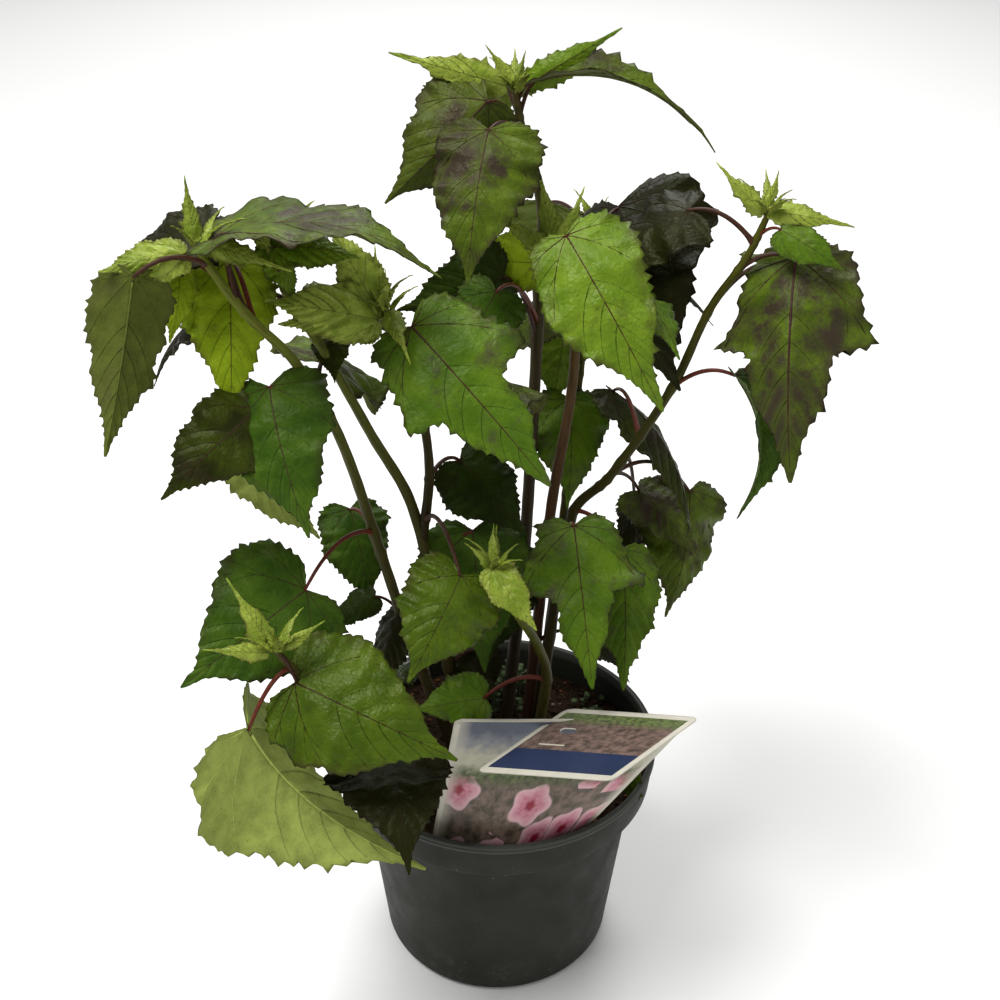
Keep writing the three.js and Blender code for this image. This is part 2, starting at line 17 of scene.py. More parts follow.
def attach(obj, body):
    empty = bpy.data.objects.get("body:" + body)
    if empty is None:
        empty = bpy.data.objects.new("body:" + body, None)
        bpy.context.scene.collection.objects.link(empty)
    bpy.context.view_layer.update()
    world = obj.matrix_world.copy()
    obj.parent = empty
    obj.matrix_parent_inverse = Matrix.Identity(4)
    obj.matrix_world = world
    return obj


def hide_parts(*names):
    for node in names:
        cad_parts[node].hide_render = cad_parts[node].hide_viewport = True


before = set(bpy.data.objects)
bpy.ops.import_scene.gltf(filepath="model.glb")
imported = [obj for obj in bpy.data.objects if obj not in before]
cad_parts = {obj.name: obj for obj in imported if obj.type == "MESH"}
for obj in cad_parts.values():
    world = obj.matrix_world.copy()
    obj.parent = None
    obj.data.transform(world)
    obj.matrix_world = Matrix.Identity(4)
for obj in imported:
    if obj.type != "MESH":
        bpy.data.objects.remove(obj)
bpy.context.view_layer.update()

MM = 0.001

# The pot, in millimetres.
POT_HEIGHT = 145
LIP_RADIUS = 95
LIP_FOOT = POT_HEIGHT - 5
BAND_FOOT_RADIUS = 92.5
BAND_FOOT = POT_HEIGHT - 23.5
BODY_TOP_RADIUS = 83
BODY_TOP = BAND_FOOT - 3.5
BASE_RADIUS = 71
BASE_ROUND = 5
POT_WALL = 1.8
POT_SIDES = 192
DRAIN_HOLES = 6
DRAIN_RADIUS = 5
DRAIN_CIRCLE = 48
SOIL_LEVEL = 127
SOIL_MOUND = 2.5
SOIL_GAP = 0.5
SOIL_SIDES = 168
SOIL_RINGS = 45
STEM_DEPTH = 6

# The label's two panels, each between a curved foot edge and a curved top edge.
CARD_THICKNESS = 0.7
CARD = {
    "foot": [[-38, -78, 123.4], [4, -86, 123.4], [40, -72, 123.4]],
    "top": [[-23, -70, 214], [40, -74, 218], [104, -68, 215]],
}
FLAP = {
    "foot": [[-11, -106, 210], [22, -121, 221], [55, -134, 230]],
    "top": [[37, -62, 215], [70, -77, 225], [103, -90, 233]],
}

# Shoots: radii at foot and tip, the share that is bare stem, the bark and the points it follows.
ROOT = SOIL_LEVEL - STEM_DEPTH
SHOOTS = {
    "west": {"radii": [3.4, 1.8], "bare": 0.5, "bark": "green", "points": [
        [-24, 0, ROOT], [-50, -5, 215], [-65, -12, 283], [-80, -32, 362], [-96, -52, 412],
        [-116, -62, 442], [-134, -66, 474]]},
    "mid": {"radii": [3.4, 1.8], "bare": 0.62, "bark": "green", "points": [
        [-20, 6, ROOT], [-36, 0, 240], [-48, -6, 310], [-66, -14, 354], [-87, -26, 408],
        [-100, -32, 436], [-108, -36, 466]]},
    "fork": {"radii": [2.8, 1.8], "bare": 0.3, "bark": "olive", "points": [
        [-42, -3, 284], [-37, -14, 336], [-42, -24, 384], [-56, -34, 434]]},
    "tall": {"radii": [4.0, 1.9], "bare": 0.42, "bark": "brown", "points": [
        [4, 22, ROOT], [14, 40, 240], [18, 46, 334], [20, 48, 415], [20, 44, 456], [10, 36, 494],
        [5, 32, 520]]},
    "red": {"radii": [3.4, 1.9], "bare": 0.66, "bark": "red", "points": [
        [16, 8, ROOT], [28, 10, 295], [37, 8, 372], [36, 0, 412], [24, -8, 452]]},
    "back": {"radii": [2.8, 1.8], "bare": 0.4, "bark": "olive", "points": [
        [24, 34, ROOT], [38, 60, 262], [44, 76, 330], [50, 92, 392], [52, 98, 430]]},
    "east": {"radii": [3.0, 1.6], "bare": 0.47, "bark": "olive", "points": [
        [22, 2, ROOT], [40, 6, 296], [59, 4, 321], [88, 0, 376], [103, -4, 421], [118, -8, 450],
        [126, -10, 474]]},
    "front": {"radii": [3.2, 1.8], "bare": 0.8, "bark": "green", "points": [
        [18, -10, ROOT], [27, -30, 209], [21, -42, 242], [8, -60, 278], [-4, -78, 316]]},
    "low": {"radii": [3.0, 1.8], "bare": 0.7, "bark": "brown", "points": [
        [-30, -20, ROOT], [-60, -62, 205], [-92, -98, 258], [-106, -112, 290]]},
}

# Half outlines of a blade as [across, along] in blade lengths, with each row's place on the midrib.
BROAD_ROWS = [0, 0.02, 0.08, 0.19, 0.34, 0.52, 0.72, 0.89, 1]
OUTLINES = {
    "wide": {"midrib": BROAD_ROWS, "edge": [
        [0.01, -0.012], [0.18, -0.11], [0.37, -0.05], [0.46, 0.14], [0.45, 0.34], [0.35, 0.55],
        [0.2, 0.76], [0.07, 0.91], [0.008, 1]]},
    "broad": {"midrib": BROAD_ROWS, "edge": [
        [0.01, -0.012], [0.15, -0.09], [0.31, -0.04], [0.38, 0.14], [0.37, 0.34], [0.29, 0.55],
        [0.17, 0.76], [0.06, 0.91], [0.008, 1]]},
    "lobed": {"midrib": [0, 0.02, 0.08, 0.19, 0.34, 0.5, 0.72, 0.89, 1], "edge": [
        [0.01, -0.012], [0.12, -0.07], [0.24, -0.01], [0.3, 0.18], [0.4, 0.4], [0.2, 0.47],
        [0.19, 0.7], [0.08, 0.88], [0.008, 1]]},
    "oval": {"midrib": BROAD_ROWS, "edge": [
        [0.01, -0.012], [0.1, -0.05], [0.21, -0.01], [0.28, 0.14], [0.28, 0.34], [0.23, 0.54],
        [0.14, 0.75], [0.06, 0.9], [0.008, 1]]},
    "slim": {"midrib": [0, 0.03, 0.2, 0.48, 0.78, 1], "edge": [
        [0.01, -0.012], [0.08, -0.02], [0.17, 0.18], [0.16, 0.46], [0.08, 0.77], [0.008, 1]]},
}


def leaf(shoot, up, stalk, blade, set_, kind, tint):
    """A leaf: how far up its shoot, its stalk as [turn, rise, length], its blade as
    [turn, dip, length], its set as [roll, arch, fold], the kind of outline and its tint."""
    return {"shoot": shoot, "up": up, "stalk": stalk, "blade": blade, "set": set_,
            "kind": kind, "tint": tint}


def leaves_of(table):
    """The leaves of a table. A row's parts are as in leaf, with bars between them."""
    found = []
    for row in table.strip().splitlines():
        place, *sizes, looks = (part.split() for part in row.split("|"))
        stalk, blade, set_ = ([float(size) for size in part] for part in sizes)
        found.append(leaf(place[0], float(place[1]), stalk, blade, set_, *looks))
    return found


LEAVES = leaves_of("""
low 0.3 | -94 18 37 | -75 17 65 | 2 0.2 0 | wide dusk
low 0.86 | -140 -42 36 | -5 46 116 | 160 0.16 -0.6 | broad pale
low 0.97 | 10 -70 19 | -15 20 84 | -45 0.1 0.15 | broad fresh
low 0.98 | 150 20 4 | 145 -50 34 | 30 0.1 0.3 | slim young
low 0.99 | -170 0 4 | -170 -10 26 | 55 0.1 0.3 | slim young
low 0.99 | 20 20 4 | 25 -25 20 | -50 0.1 0.3 | slim young
front 0.25 | -155 0 38 | -165 0 40 | 50 0.1 0.2 | broad leafy
front 0.88 | -120 60 21 | -40 40 36 | -40 0.1 0.2 | oval young
front 0.98 | 90 50 5 | 90 -50 16 | 20 0.1 0.3 | slim young
west 0.22 | 170 35 18 | -160 30 34 | 30 0.1 0.2 | oval deep
west 0.33 | 115 0 50 | -70 55 56 | 5 0.1 0.2 | broad mature
west 0.36 | -118 0 62 | -142 21 74 | 45 0.02 0.05 | wide mature
west 0.55 | 170 -20 50 | -30 45 62 | 160 0.1 0.3 | broad pale
west 0.57 | -135 34 37 | -62 56 70 | -30 0.1 0.2 | broad mature
west 0.62 | -140 -8 30 | -145 32 58 | 50 0.1 0.15 | broad bronze
west 0.8 | 115 30 38 | -90 65 74 | 10 0.1 0.2 | oval lit
west 0.86 | 160 80 30 | 0 10 96 | 4 0.14 -0.1 | broad mauve
west 0.89 | 140 5 32 | -110 65 34 | 55 0.1 0.2 | oval lit
west 0.95 | -155 0 32 | -108 60 76 | -152 0.12 -0.7 | oval blush
west 0.98 | -165 0 6 | -165 8 36 | 50 0.08 0.4 | oval young
west 0.98 | 0 40 6 | -20 10 34 | -60 0.1 0.3 | slim young
west 0.99 | 110 60 3 | 110 -70 24 | 5 0 0.3 | slim young
mid 0.2 | 11 54 40 | -80 57 76 | -9 0.1 0.1 | broad mature
mid 0.86 | 150 70 23 | -35 60 30 | -20 0.1 0.2 | oval lime
mid 0.7 | 60 -10 12 | -80 50 24 | 0 0.1 0.2 | broad bronze
mid 0.89 | -90 60 22 | 5 8 38 | -40 0.1 0.2 | oval lime
mid 0.98 | 60 40 4 | 40 -30 24 | -40 0.1 0.3 | slim young
fork 0.1 | -73 8 74 | -126 43 56 | 37 0.1 0.2 | wide fresh
fork 0.28 | 65 -10 36 | -30 40 55 | -40 0.1 0.2 | broad deep
fork 0.51 | -95 65 76 | -30 40 94 | -45 0.08 0.1 | lobed leafy
fork 0.93 | -135 30 8 | -175 -12 52 | 65 0.12 0.4 | oval young
fork 0.95 | -165 10 6 | -168 0 44 | 60 0.12 0.3 | oval young
fork 0.97 | 160 30 6 | 150 -55 42 | 50 0.1 0.4 | oval young
fork 0.98 | 130 5 6 | 95 -70 24 | 0 0.05 0.3 | slim young
fork 0.99 | -60 5 6 | -70 20 30 | -20 0.1 0.3 | slim young
tall 0.43 | -125 55 56 | -170 15 55 | 80 0.1 0.2 | broad deep
tall 0.45 | -115 35 64 | -140 50 48 | 45 0.1 0.2 | broad mature
tall 0.49 | -100 50 28 | 175 0 40 | 70 0.1 0.2 | broad lit
tall 0.8 | -116 26 48 | -105 60 70 | 5 0.1 0.2 | broad mauve
tall 0.84 | -135 40 32 | -165 42 66 | 75 0.08 0.5 | broad blush
tall 0.9 | -45 65 20 | -10 12 80 | -10 0.16 -0.6 | slim mauve
tall 0.94 | -35 60 12 | 5 -30 44 | -75 0.12 0.3 | slim lime
tall 0.97 | -145 40 8 | 175 -14 50 | 75 0.12 0.3 | slim young
tall 0.98 | -125 65 6 | 165 -50 18 | 70 0 0.3 | slim young
tall 0.98 | 60 65 4 | 60 -60 14 | -40 0 0.3 | slim young
red 0.72 | -105 65 64 | -40 50 90 | -45 0.12 0.1 | oval lime
red 0.8 | 60 38 62 | -60 52 96 | -55 0.2 0.5 | wide dusk
red 0.97 | 90 60 4 | 130 -70 34 | 40 0 0.3 | slim young
red 0.98 | 170 45 4 | 170 -30 28 | 70 0.1 0.3 | slim young
red 0.98 | 40 25 4 | 35 -65 28 | -50 0.1 0.3 | slim young
back 0.3 | 88 86 61 | -91 59 61 | 14 0.1 0.2 | broad leafy
back 0.5 | 120 70 45 | -110 65 46 | 25 0.1 0.2 | broad lime
east 0.09 | 70 5 60 | -60 55 52 | 20 0.1 0.2 | broad mature
east 0.14 | -85 50 54 | -80 50 82 | -10 0.1 0.1 | lobed leafy
east 0.18 | -25 -30 34 | -90 50 74 | 5 0.1 0.2 | oval leafy
east 0.29 | 57 -28 55 | -36 38 47 | -16 0.1 0.2 | broad mauve
east 0.32 | 45 -26 86 | -110 60 74 | 40 0.1 0.3 | broad mauve
east 0.36 | 75 -45 100 | -95 55 62 | 60 0.1 0.3 | oval dusk
east 0.41 | 100 0 59 | -45 45 88 | 25 0.12 0.3 | oval bronze
east 0.5 | -20 22 34 | -85 60 70 | 40 0.2 -0.7 | oval mature
east 0.79 | -15 20 28 | -92 60 104 | -20 0.12 0.45 | lobed mauve
east 0.9 | -45 30 14 | -25 25 34 | -60 0.1 0.2 | oval leafy
east 0.96 | -160 65 4 | 155 -40 28 | 70 0.1 0.3 | slim young
east 0.97 | -65 60 4 | -15 5 34 | -60 0.1 0.3 | slim young
east 0.98 | 100 60 4 | 60 -50 16 | -40 0.1 0.3 | slim young
""")
# Small dark leaves low in the middle of the crown, finer than the model's. They are partly real leaves and
# partly painted shade: their near-black tints fill the shaded middle.
LOW_LEAVES = leaves_of("""
mid 0.10 | 10 30 22 | -110 55 52 | 10 0.12 0.25 | oval dusk
mid 0.16 | -150 20 20 | -120 55 46 | -12 0.14 0.3 | broad dusk
tall 0.17 | 230 35 28 | -100 60 62 | 6 0.1 0.2 | wide deep
red 0.12 | -10 30 24 | -20 35 44 | 14 0.16 0.3 | oval dusk
west 0.10 | 100 35 18 | 150 40 42 | 0 0.12 0.2 | broad deep
""")
# A young leaf that stands in the soil between the label and the rim.
SEEDLING = leaf(None, 0, [40, 75, 9], [75, -62, 27], [35, 0.1, 0.3], "oval", "fresh")
SEEDLING["root"] = np.array([76.0, -44.0, SOIL_LEVEL - 2.0])

# The far side of the crown by the model's seeded rule: shoot, seed, how many leaves, from where to
# where up the shoot, and the way they face. Pairs are a middle and a spread.
FAR_SIDE = [
    ("west", 2617, 2, 0.56, 0.96, 115), ("mid", 127, 2, 0.66, 0.92, 80),
    ("fork", 7, 1, 0.45, 0.9, 85), ("tall", 88, 2, 0.46, 0.9, 85), ("red", 46, 1, 0.7, 0.92, 60),
    ("back", 31, 4, 0.44, 0.98, 95), ("east", 947, 2, 0.52, 0.92, 60),
]
FAR_SWING = (60, 50)
FAR_STALK_RISE = (25, 35)
FAR_STALK_LENGTH = (34, 12)
FAR_BLADE_TURN = (0, 50)
FAR_BLADE_DIP = (45, 25)
FAR_BLADE_LENGTH = (62, 14)
FAR_ROLL = (0, 30)
FAR_ARCH = 0.1
FAR_FOLD = 0.2
FAR_TINTS = ["mature", "leafy", "mauve", "dusk", "lime"]

PETIOLE_FOOT_RADIUS = 1.5
PETIOLE_TIP_RADIUS = 1.0
PETIOLE_BOW = 0.18
PETIOLE_ROOT = 0.012
RIPPLE = 0.05
RIPPLE_RATE = 9
RIPPLE_PHASE = 1.7

# Fine form of a blade, in blade lengths unless a name says millimetres. Pairs are for grown blades
# and for young slim ones.
BLADE_THICKNESS_MM = 0.4
BLADE_ROWS = (88, 44)
BLADE_COLUMNS = (10, 5)
TEETH = (22, 11)
TOOTH_HEIGHT = (0.027, 0.05)
TIP_DRAW = (0.36, 0.42)
TIP_REACH = (0.035, 0.16)
MARGIN = 0.93
SWAY = 0.07
RAGS = 15
RAGGED = 0.06
PUCKER = {"young": 3.0, "fresh": 1.5, "lime": 1.5}
VEIN_SINK = 0.006
QUILT = 0.015
QUILT_WIDTH = 0.035
RIB_WIDTH = 0.0048
THINNEST_RIB_MM = 0.13
RIB_LIFT_MM = 0.12
RIB_DEPTH_MM = 0.22
UPPER_RIB_HEIGHT = 0.45
UNDER_RIB_HEIGHT = 0.9
# Veins: each main vein's place on the edge, each side vein's foot on the midrib and place on the
# edge, and each branch's main vein, how far out it leaves it and its place on the edge.
VEIN_STEPS = 10
MAIN_VEINS = [0.14, 0.31, 0.52]
SIDE_VEINS = [(0.27, 0.65), (0.4, 0.72), (0.53, 0.79), (0.66, 0.85), (0.79, 0.91)]
BRANCH_VEINS = [(0, 0.45, 0.09), (0, 0.6, 0.2), (1, 0.4, 0.25), (1, 0.6, 0.36), (2, 0.3, 0.4),
                (2, 0.5, 0.46), (2, 0.62, 0.58)]
MAIN_WIDTH = 1.0
MIDRIB_WIDTH = 1.6
SIDE_WIDTH = 0.75
BRANCH_WIDTH = 0.45


def shares(seed):
    """The model's small whole-number random sequence: the next share from 0 to 1 at each call."""
    state = seed

    def following():
        nonlocal state
        state = (state * 16807) % 2147483647
        return state / 2147483647

    return following


def far_leaves(shoot, seed, count, low, high, facing):
    following = shares(seed * 7919)

    def about(middle, spread):
        return middle + spread * (2 * following() - 1)

    found = []
    for i in range(count):
        up = low + (high - low) * (i + following()) / count
        turn = facing + (1 if i % 2 else -1) * about(*FAR_SWING)
        stalk = [turn, about(*FAR_STALK_RISE), about(*FAR_STALK_LENGTH)]
        blade = [turn + about(*FAR_BLADE_TURN), about(*FAR_BLADE_DIP), about(*FAR_BLADE_LENGTH)]
        set_ = [about(*FAR_ROLL), FAR_ARCH, FAR_FOLD]
        tint = FAR_TINTS[(seed + i) % len(FAR_TINTS)]
        found.append(leaf(shoot, up, stalk, blade, set_, "broad" if i % 2 else "wide", tint))
    return found


for rule in FAR_SIDE:
    LEAVES += far_leaves(*rule)
LEAVES += LOW_LEAVES + [SEEDLING]
for number, item in enumerate(LEAVES):
    item["phase"] = number * RIPPLE_PHASE
    item["number"] = number


# Curves and frames.
def unit(v):
    return v / np.linalg.norm(v, axis=-1, keepdims=True)


def bearing(turn, rise):
    t, r = math.radians(turn), math.radians(rise)
    return np.array([math.cos(t) * math.cos(r), math.sin(t) * math.cos(r), math.sin(r)])


def bow(start, bend, end, t):
    """Places at shares t of the way from start to end, bent toward a third place."""
    return (1 - t) ** 2 * start + 2 * t * (1 - t) * bend + t ** 2 * end


def spans_of(points, places):
    """A line with one more point at each end, the span that each place lies on and its share of it."""
    points = np.asarray(points, float)
    spans = len(points) - 1
    line = np.vstack([2 * points[0] - points[1], points, 2 * points[-1] - points[-2]])
    along = np.clip(np.asarray(places, float), 0, 1) * spans
    start = np.minimum(along.astype(int), spans - 1)
    return line, start, (along - start)[:, None]


def between(here, there, leave, arrive, f):
    """The smooth way from here to there that leaves and arrives with the given headings."""
    square = -3 * here + 3 * there - 2 * leave - arrive
    cube = 2 * here - 2 * there + leave + arrive
    return here + f * (leave + f * (square + f * cube))


def through(points, places):
    """Places, from 0 to 1, on the smooth curve through the points."""
    line, start, f = spans_of(points, places)
    before, here, there, after = (line[start + k] for k in range(4))
    return between(here, there, 0.5 * (there - before), 0.5 * (after - here), f)


def shoot_points(shoot, places):
    """Places on a shoot: a smooth curve too, but without overshoot at short spans."""
    line, start, f = spans_of(SHOOTS[shoot]["points"], places)
    chords = np.linalg.norm(np.diff(line, axis=0), axis=1)
    headings = (line[2:] - line[:-2]) / (chords[1:] + chords[:-1])[:, None]
    reach = chords[1:-1][start][:, None]
    leave, arrive = headings[start] * reach, headings[start + 1] * reach
    return between(line[start + 1], line[start + 2], leave, arrive, f)


def blade_frame(item):
    """The ways that a blade runs, widens to its right and faces."""
    turn, dip, _ = item["blade"]
    along = bearing(turn, -dip)
    level = bearing(turn - 90, 0)
    raised = np.cross(level, along)
    angle = math.radians(item["set"][0])
    side = level * math.cos(angle) + raised * math.sin(angle)
    up = raised * math.cos(angle) - level * math.sin(angle)
    return along, side, up


def stalk_ends(item):
    root = item.get("root")
    if root is None:
        root = shoot_points(item["shoot"], [item["up"]])[0]
    turn, rise, length = item["stalk"]
    return root, root + bearing(turn, rise) * length


def curl(item, across, along):
    """The finer waves of a blade's margin and the hang of its tip, in blade lengths."""
    seed = shares(item["number"] + 3)
    for _ in range(4):
        seed()
    rate, size = 12 + 9 * seed(), 0.022 + 0.026 * seed()
    first, second = 6 * seed(), 6 * seed()
    reach = np.clip(np.abs(across) / 0.36, 0, 1.2) ** 1.8
    phase = np.where(across > 0, first, second)
    waves = np.sin(rate * along + phase) + 0.4 * np.sin(2.7 * rate * along + 2 * phase)
    return size * reach * waves - 0.02 * reach ** 2 - 0.12 * np.clip(along - 0.75, 0, 1) ** 2


def blade_surface(item, across, along, to_vein):
    """Places on a blade's middle surface, in millimetres, for flat places in blade lengths."""
    _, joint = stalk_ends(item)
    _, arch, fold = item["set"]
    length = item["blade"][2]
    forward, side, up = blade_frame(item)
    spread = np.abs(across) / math.hypot(1, fold)
    ripple = RIPPLE * np.sin(RIPPLE_RATE * along + item["phase"]) * np.abs(across)
    relief = 1 - np.exp(-((to_vein / QUILT_WIDTH) ** 2))
    lift = arch * 4 * along * (1 - along) - fold * spread + ripple + curl(item, across, along)
    lift = lift + PUCKER.get(item["tint"], 1.0) * (QUILT * relief - VEIN_SINK)
    place = joint + forward * (along * length)[..., None]
    place = place + side * (np.sign(across) * spread * length)[..., None]
    return place + up * (lift * length)[..., None]


# Flat pattern of a blade: its toothed outline, its veins and how far each place is from a vein.
def half_outline(kind, rows, seed):
    """One half's smooth outline, its toothed one and the midrib place of each row."""
    young = kind == "slim"
    places = np.linspace(0, 1, rows + 1)
    smooth = through(OUTLINES[kind]["edge"], places)
    midrib = through(np.array(OUTLINES[kind]["midrib"])[:, None], places)[:, 0]
    ease = np.sin(math.pi * places)
    smooth[:, 0] *= 1 + SWAY * ease * np.sin(7 * places + 6 * seed())
    rags = np.array([seed() - 0.5 for _ in range(RAGS)])
    smooth[:, 0] += RAGGED * ease * through(rags[:, None], places)[:, 0]
    smooth[:, 0] *= 1 - TIP_DRAW[young] * np.exp(-(((places - 0.86) / 0.13) ** 2))
    drawn = TIP_REACH[young] * np.clip((places - 0.8) / 0.2, 0, 1) ** 2
    smooth[:, 1] += drawn
    run = unit(np.gradient(smooth, axis=0))
    outward = np.stack([run[:, 1], -run[:, 0]], axis=1)
    steps = np.linalg.norm(np.diff(smooth, axis=0), axis=1)
    arc = np.concatenate([[0], np.cumsum(steps)]) / steps.sum()
    sizes = np.array([0.25 + 1.5 * seed() for _ in range(TEETH[young] + 2)])
    turns = TEETH[young] * np.clip(arc + 0.012 * np.sin(9 * arc + 6 * seed()), 0, 1)
    saw, fine = turns % 1, (3 * turns) % 1
    height = TOOTH_HEIGHT[young] * sizes[turns.astype(int)] * np.clip(6 * arc * (1 - arc), 0, 1)
    height = np.minimum(height, 0.5 * smooth[:, 0])
    shift = height * (saw ** 1.5 - 0.4 + 0.35 * (fine - 0.5))
    toothed = smooth + outward * shift[:, None]
    toothed[:, 0] = np.maximum(toothed[:, 0], 0.004)
    toothed[0], toothed[-1] = smooth[0], smooth[-1]
    return smooth, toothed, midrib + drawn


def vein_lines(kind):
    """The right half's veins, as (points, width, is it a main one) in blade lengths."""
    t = np.linspace(0, 1, VEIN_STEPS + 1)[:, None]

    def ends(places):
        return through(OUTLINES[kind]["edge"], places)

    lines = []
    for end in ends(MAIN_VEINS):
        lines.append((bow(np.zeros(2), end * [0.62, 0.36], end * 0.97, t), MAIN_WIDTH, True))
    for along, place in SIDE_VEINS:
        end = ends([place])[0]
        bend = np.array([end[0] * 0.62, along + (end[1] - along) * 0.3])
        line = bow(np.array([0, along]), bend, end * [0.95, 0.99], t)
        lines.append((line, SIDE_WIDTH, False))
    for main, share, place in BRANCH_VEINS:
        start = lines[main][0][int(share * VEIN_STEPS)]
        end = ends([place])[0]
        line = bow(start, start + (end - start) * [0.6, 0.4], end * 0.96, t)
        lines.append((line, BRANCH_WIDTH, False))
    return lines


VEINS = {kind: vein_lines(kind) for kind in OUTLINES}
MIDRIB = np.stack([np.zeros(25), np.linspace(0, 0.97, 25)], axis=1)


def vein_distance(kind, across, along):
    """How far each flat place is from the nearest vein, in blade lengths."""
    fine = np.linspace(0, 1, 4 * VEIN_STEPS)
    lines = [MIDRIB] + [line for line, _, _ in VEINS[kind]]
    spots = np.vstack([through(line, fine) for line in lines])
    flat = np.stack([np.abs(across).ravel(), along.ravel()], axis=1)
    gaps = ((flat[:, None, :] - spots[None, :, :]) ** 2).sum(-1)
    return np.sqrt(gaps.min(1)).reshape(across.shape)


# Meshes. A shape is a dictionary of corner places, faces, each face's material and extra values.
def grid_faces(rows, columns, first=0, flip=False):
    """Quads over a grid of corner numbers with rows + 1 by columns + 1 corners."""
    r, c = np.meshgrid(np.arange(rows), np.arange(columns), indexing="ij")
    a = first + r * (columns + 1) + c
    quad = np.stack([a, a + 1, a + columns + 2, a + columns + 1], axis=-1).reshape(-1, 4)
    return quad[:, ::-1] if flip else quad


def slab(middle, normal, thickness):
    """A grid of places thickened along its normals: its corners and the faces of its upper side, of
    its lower side and of the strip round them."""
    rows, columns = middle.shape[0] - 1, middle.shape[1] - 1
    half = 0.5 * thickness * normal
    corners = np.concatenate([(middle + half).reshape(-1, 3), (middle - half).reshape(-1, 3)])
    count = (rows + 1) * (columns + 1)
    number = np.arange(count).reshape(rows + 1, columns + 1)
    rim = np.concatenate([number[:-1, 0], number[-1, :-1], number[:0:-1, -1], number[0, :0:-1]])
    after = np.roll(rim, -1)
    strip = np.stack([rim, after, after + count, rim + count], axis=1)
    return corners, grid_faces(rows, columns), grid_faces(rows, columns, count, True), strip


def ring_faces(count, sides):
    """Quads between rings of corners that follow each other."""
    r, c = np.meshgrid(np.arange(count - 1), np.arange(sides), indexing="ij")
    a, b = r * sides + c, r * sides + (c + 1) % sides
    return np.stack([a, b, b + sides, a + sides], axis=-1).reshape(-1, 4).tolist()


def capped_faces(count, sides):
    """Faces of rings that are closed at both ends round one more corner each."""
    foot, tip, last = count * sides, count * sides + 1, (count - 1) * sides
    caps = [[foot, (k + 1) % sides, k] for k in range(sides)]
    caps += [[tip, last + k, last + (k + 1) % sides] for k in range(sides)]
    return ring_faces(count, sides) + caps


def blade_shape(item):
    """A thin closed blade with teeth: the upper face, the under face and the strip between."""
    young = item["kind"] == "slim"
    rows, columns = BLADE_ROWS[young], BLADE_COLUMNS[young]
    seed = shares(item["number"] * 31 + 7)
    halves = [half_outline(item["kind"], rows, seed) for _ in range(2)]
    inner = np.linspace(0, MARGIN, columns)
    steps = np.concatenate([[-1], -inner[:0:-1], inner, [1]])
    across = np.zeros((rows + 1, 2 * columns + 1))
    along = np.zeros_like(across)
    for k, s in enumerate(steps):
        smooth, toothed, midrib = halves[0 if s < 0 else 1]
        edge = toothed if abs(s) == 1 else smooth
        across[:, k] = s * edge[:, 0]
        along[:, k] = midrib + (edge[:, 1] - midrib) * abs(s)
    to_vein = vein_distance(item["kind"], across, along)
    middle = blade_surface(item, across, along, to_vein)
    _, _, up = blade_frame(item)
    normal = np.cross(np.gradient(middle, axis=0), np.gradient(middle, axis=1))
    normal = unit(normal + 1e-9 * up)
    if (normal * up).sum(-1).mean() < 0:
        normal = -normal
    corners, upper, lower, strip = slab(middle, normal, BLADE_THICKNESS_MM)
    faces = np.concatenate([upper, lower, strip])
    a, b, c = corners[faces[0][:3]]
    if np.cross(b - a, c - b) @ normal[0, 0] < 0:
        faces = faces[:, ::-1]
    flat = np.stack([across.ravel(), along.ravel()], axis=1)
    edge_share = np.abs(np.broadcast_to(steps, across.shape)).ravel()
    glow = np.exp(-((to_vein.ravel() / 0.022) ** 2))
    pattern = np.column_stack([flat * item["blade"][2], np.full(len(flat), 137.0 * item["number"])])
    cells = np.repeat([0, 1, 0], [len(upper), len(lower), len(strip)])
    top = 2 * TINT_NAMES.index(item["tint"])
    return {"corners": corners, "faces": faces.tolist(), "materials": top + cells,
            "rim": np.tile(edge_share, 2), "vein": np.tile(glow, 2),
            "pattern": np.tile(pattern, (2, 1)), "flat": np.tile(flat, (2, 1)), "cells": cells}


def tube_shape(points, radii, sides, material, relief=None):
    """A closed round tube along points. Its pattern runs round it and along it in millimetres."""
    points = np.asarray(points, float)
    run = unit(np.gradient(points, axis=0))
    side = [np.cross(run[0], [0.3, 0.9, 0.2])]
    for direction in run:
        side.append(unit(side[-1] - direction * (side[-1] @ direction)))
    side = np.array(side[1:])
    other = np.cross(run, side)
    turn = np.arange(sides) * 2 * math.pi / sides
    steps = np.linalg.norm(np.diff(points, axis=0), axis=1)
    arc = np.concatenate([[0], np.cumsum(steps)])
    ring_radii = np.repeat(np.asarray(radii, float)[:, None], sides, axis=1)
    if relief is not None:
        ring_radii = ring_radii * relief(turn[None, :], arc[:, None])
    rings = points[:, None] + ring_radii[..., None] * (
        np.cos(turn)[None, :, None] * side[:, None] + np.sin(turn)[None, :, None] * other[:, None])
    count = len(points)
    faces = capped_faces(count, sides)
    around = np.stack([np.broadcast_to(v, (count, sides)) for v in
                       (3 * np.cos(turn), 3 * np.sin(turn), arc[:, None])], axis=-1)
    return {"corners": np.concatenate([rings.reshape(-1, 3), points[:1], points[-1:]]),
            "faces": faces, "materials": np.full(len(faces), material),
            "pattern": np.concatenate([around.reshape(-1, 3), [[0, 0, 0], [0, 0, arc[-1]]]]),
            "climb": np.concatenate([np.repeat(arc / arc[-1], sides), [0, 1]])}


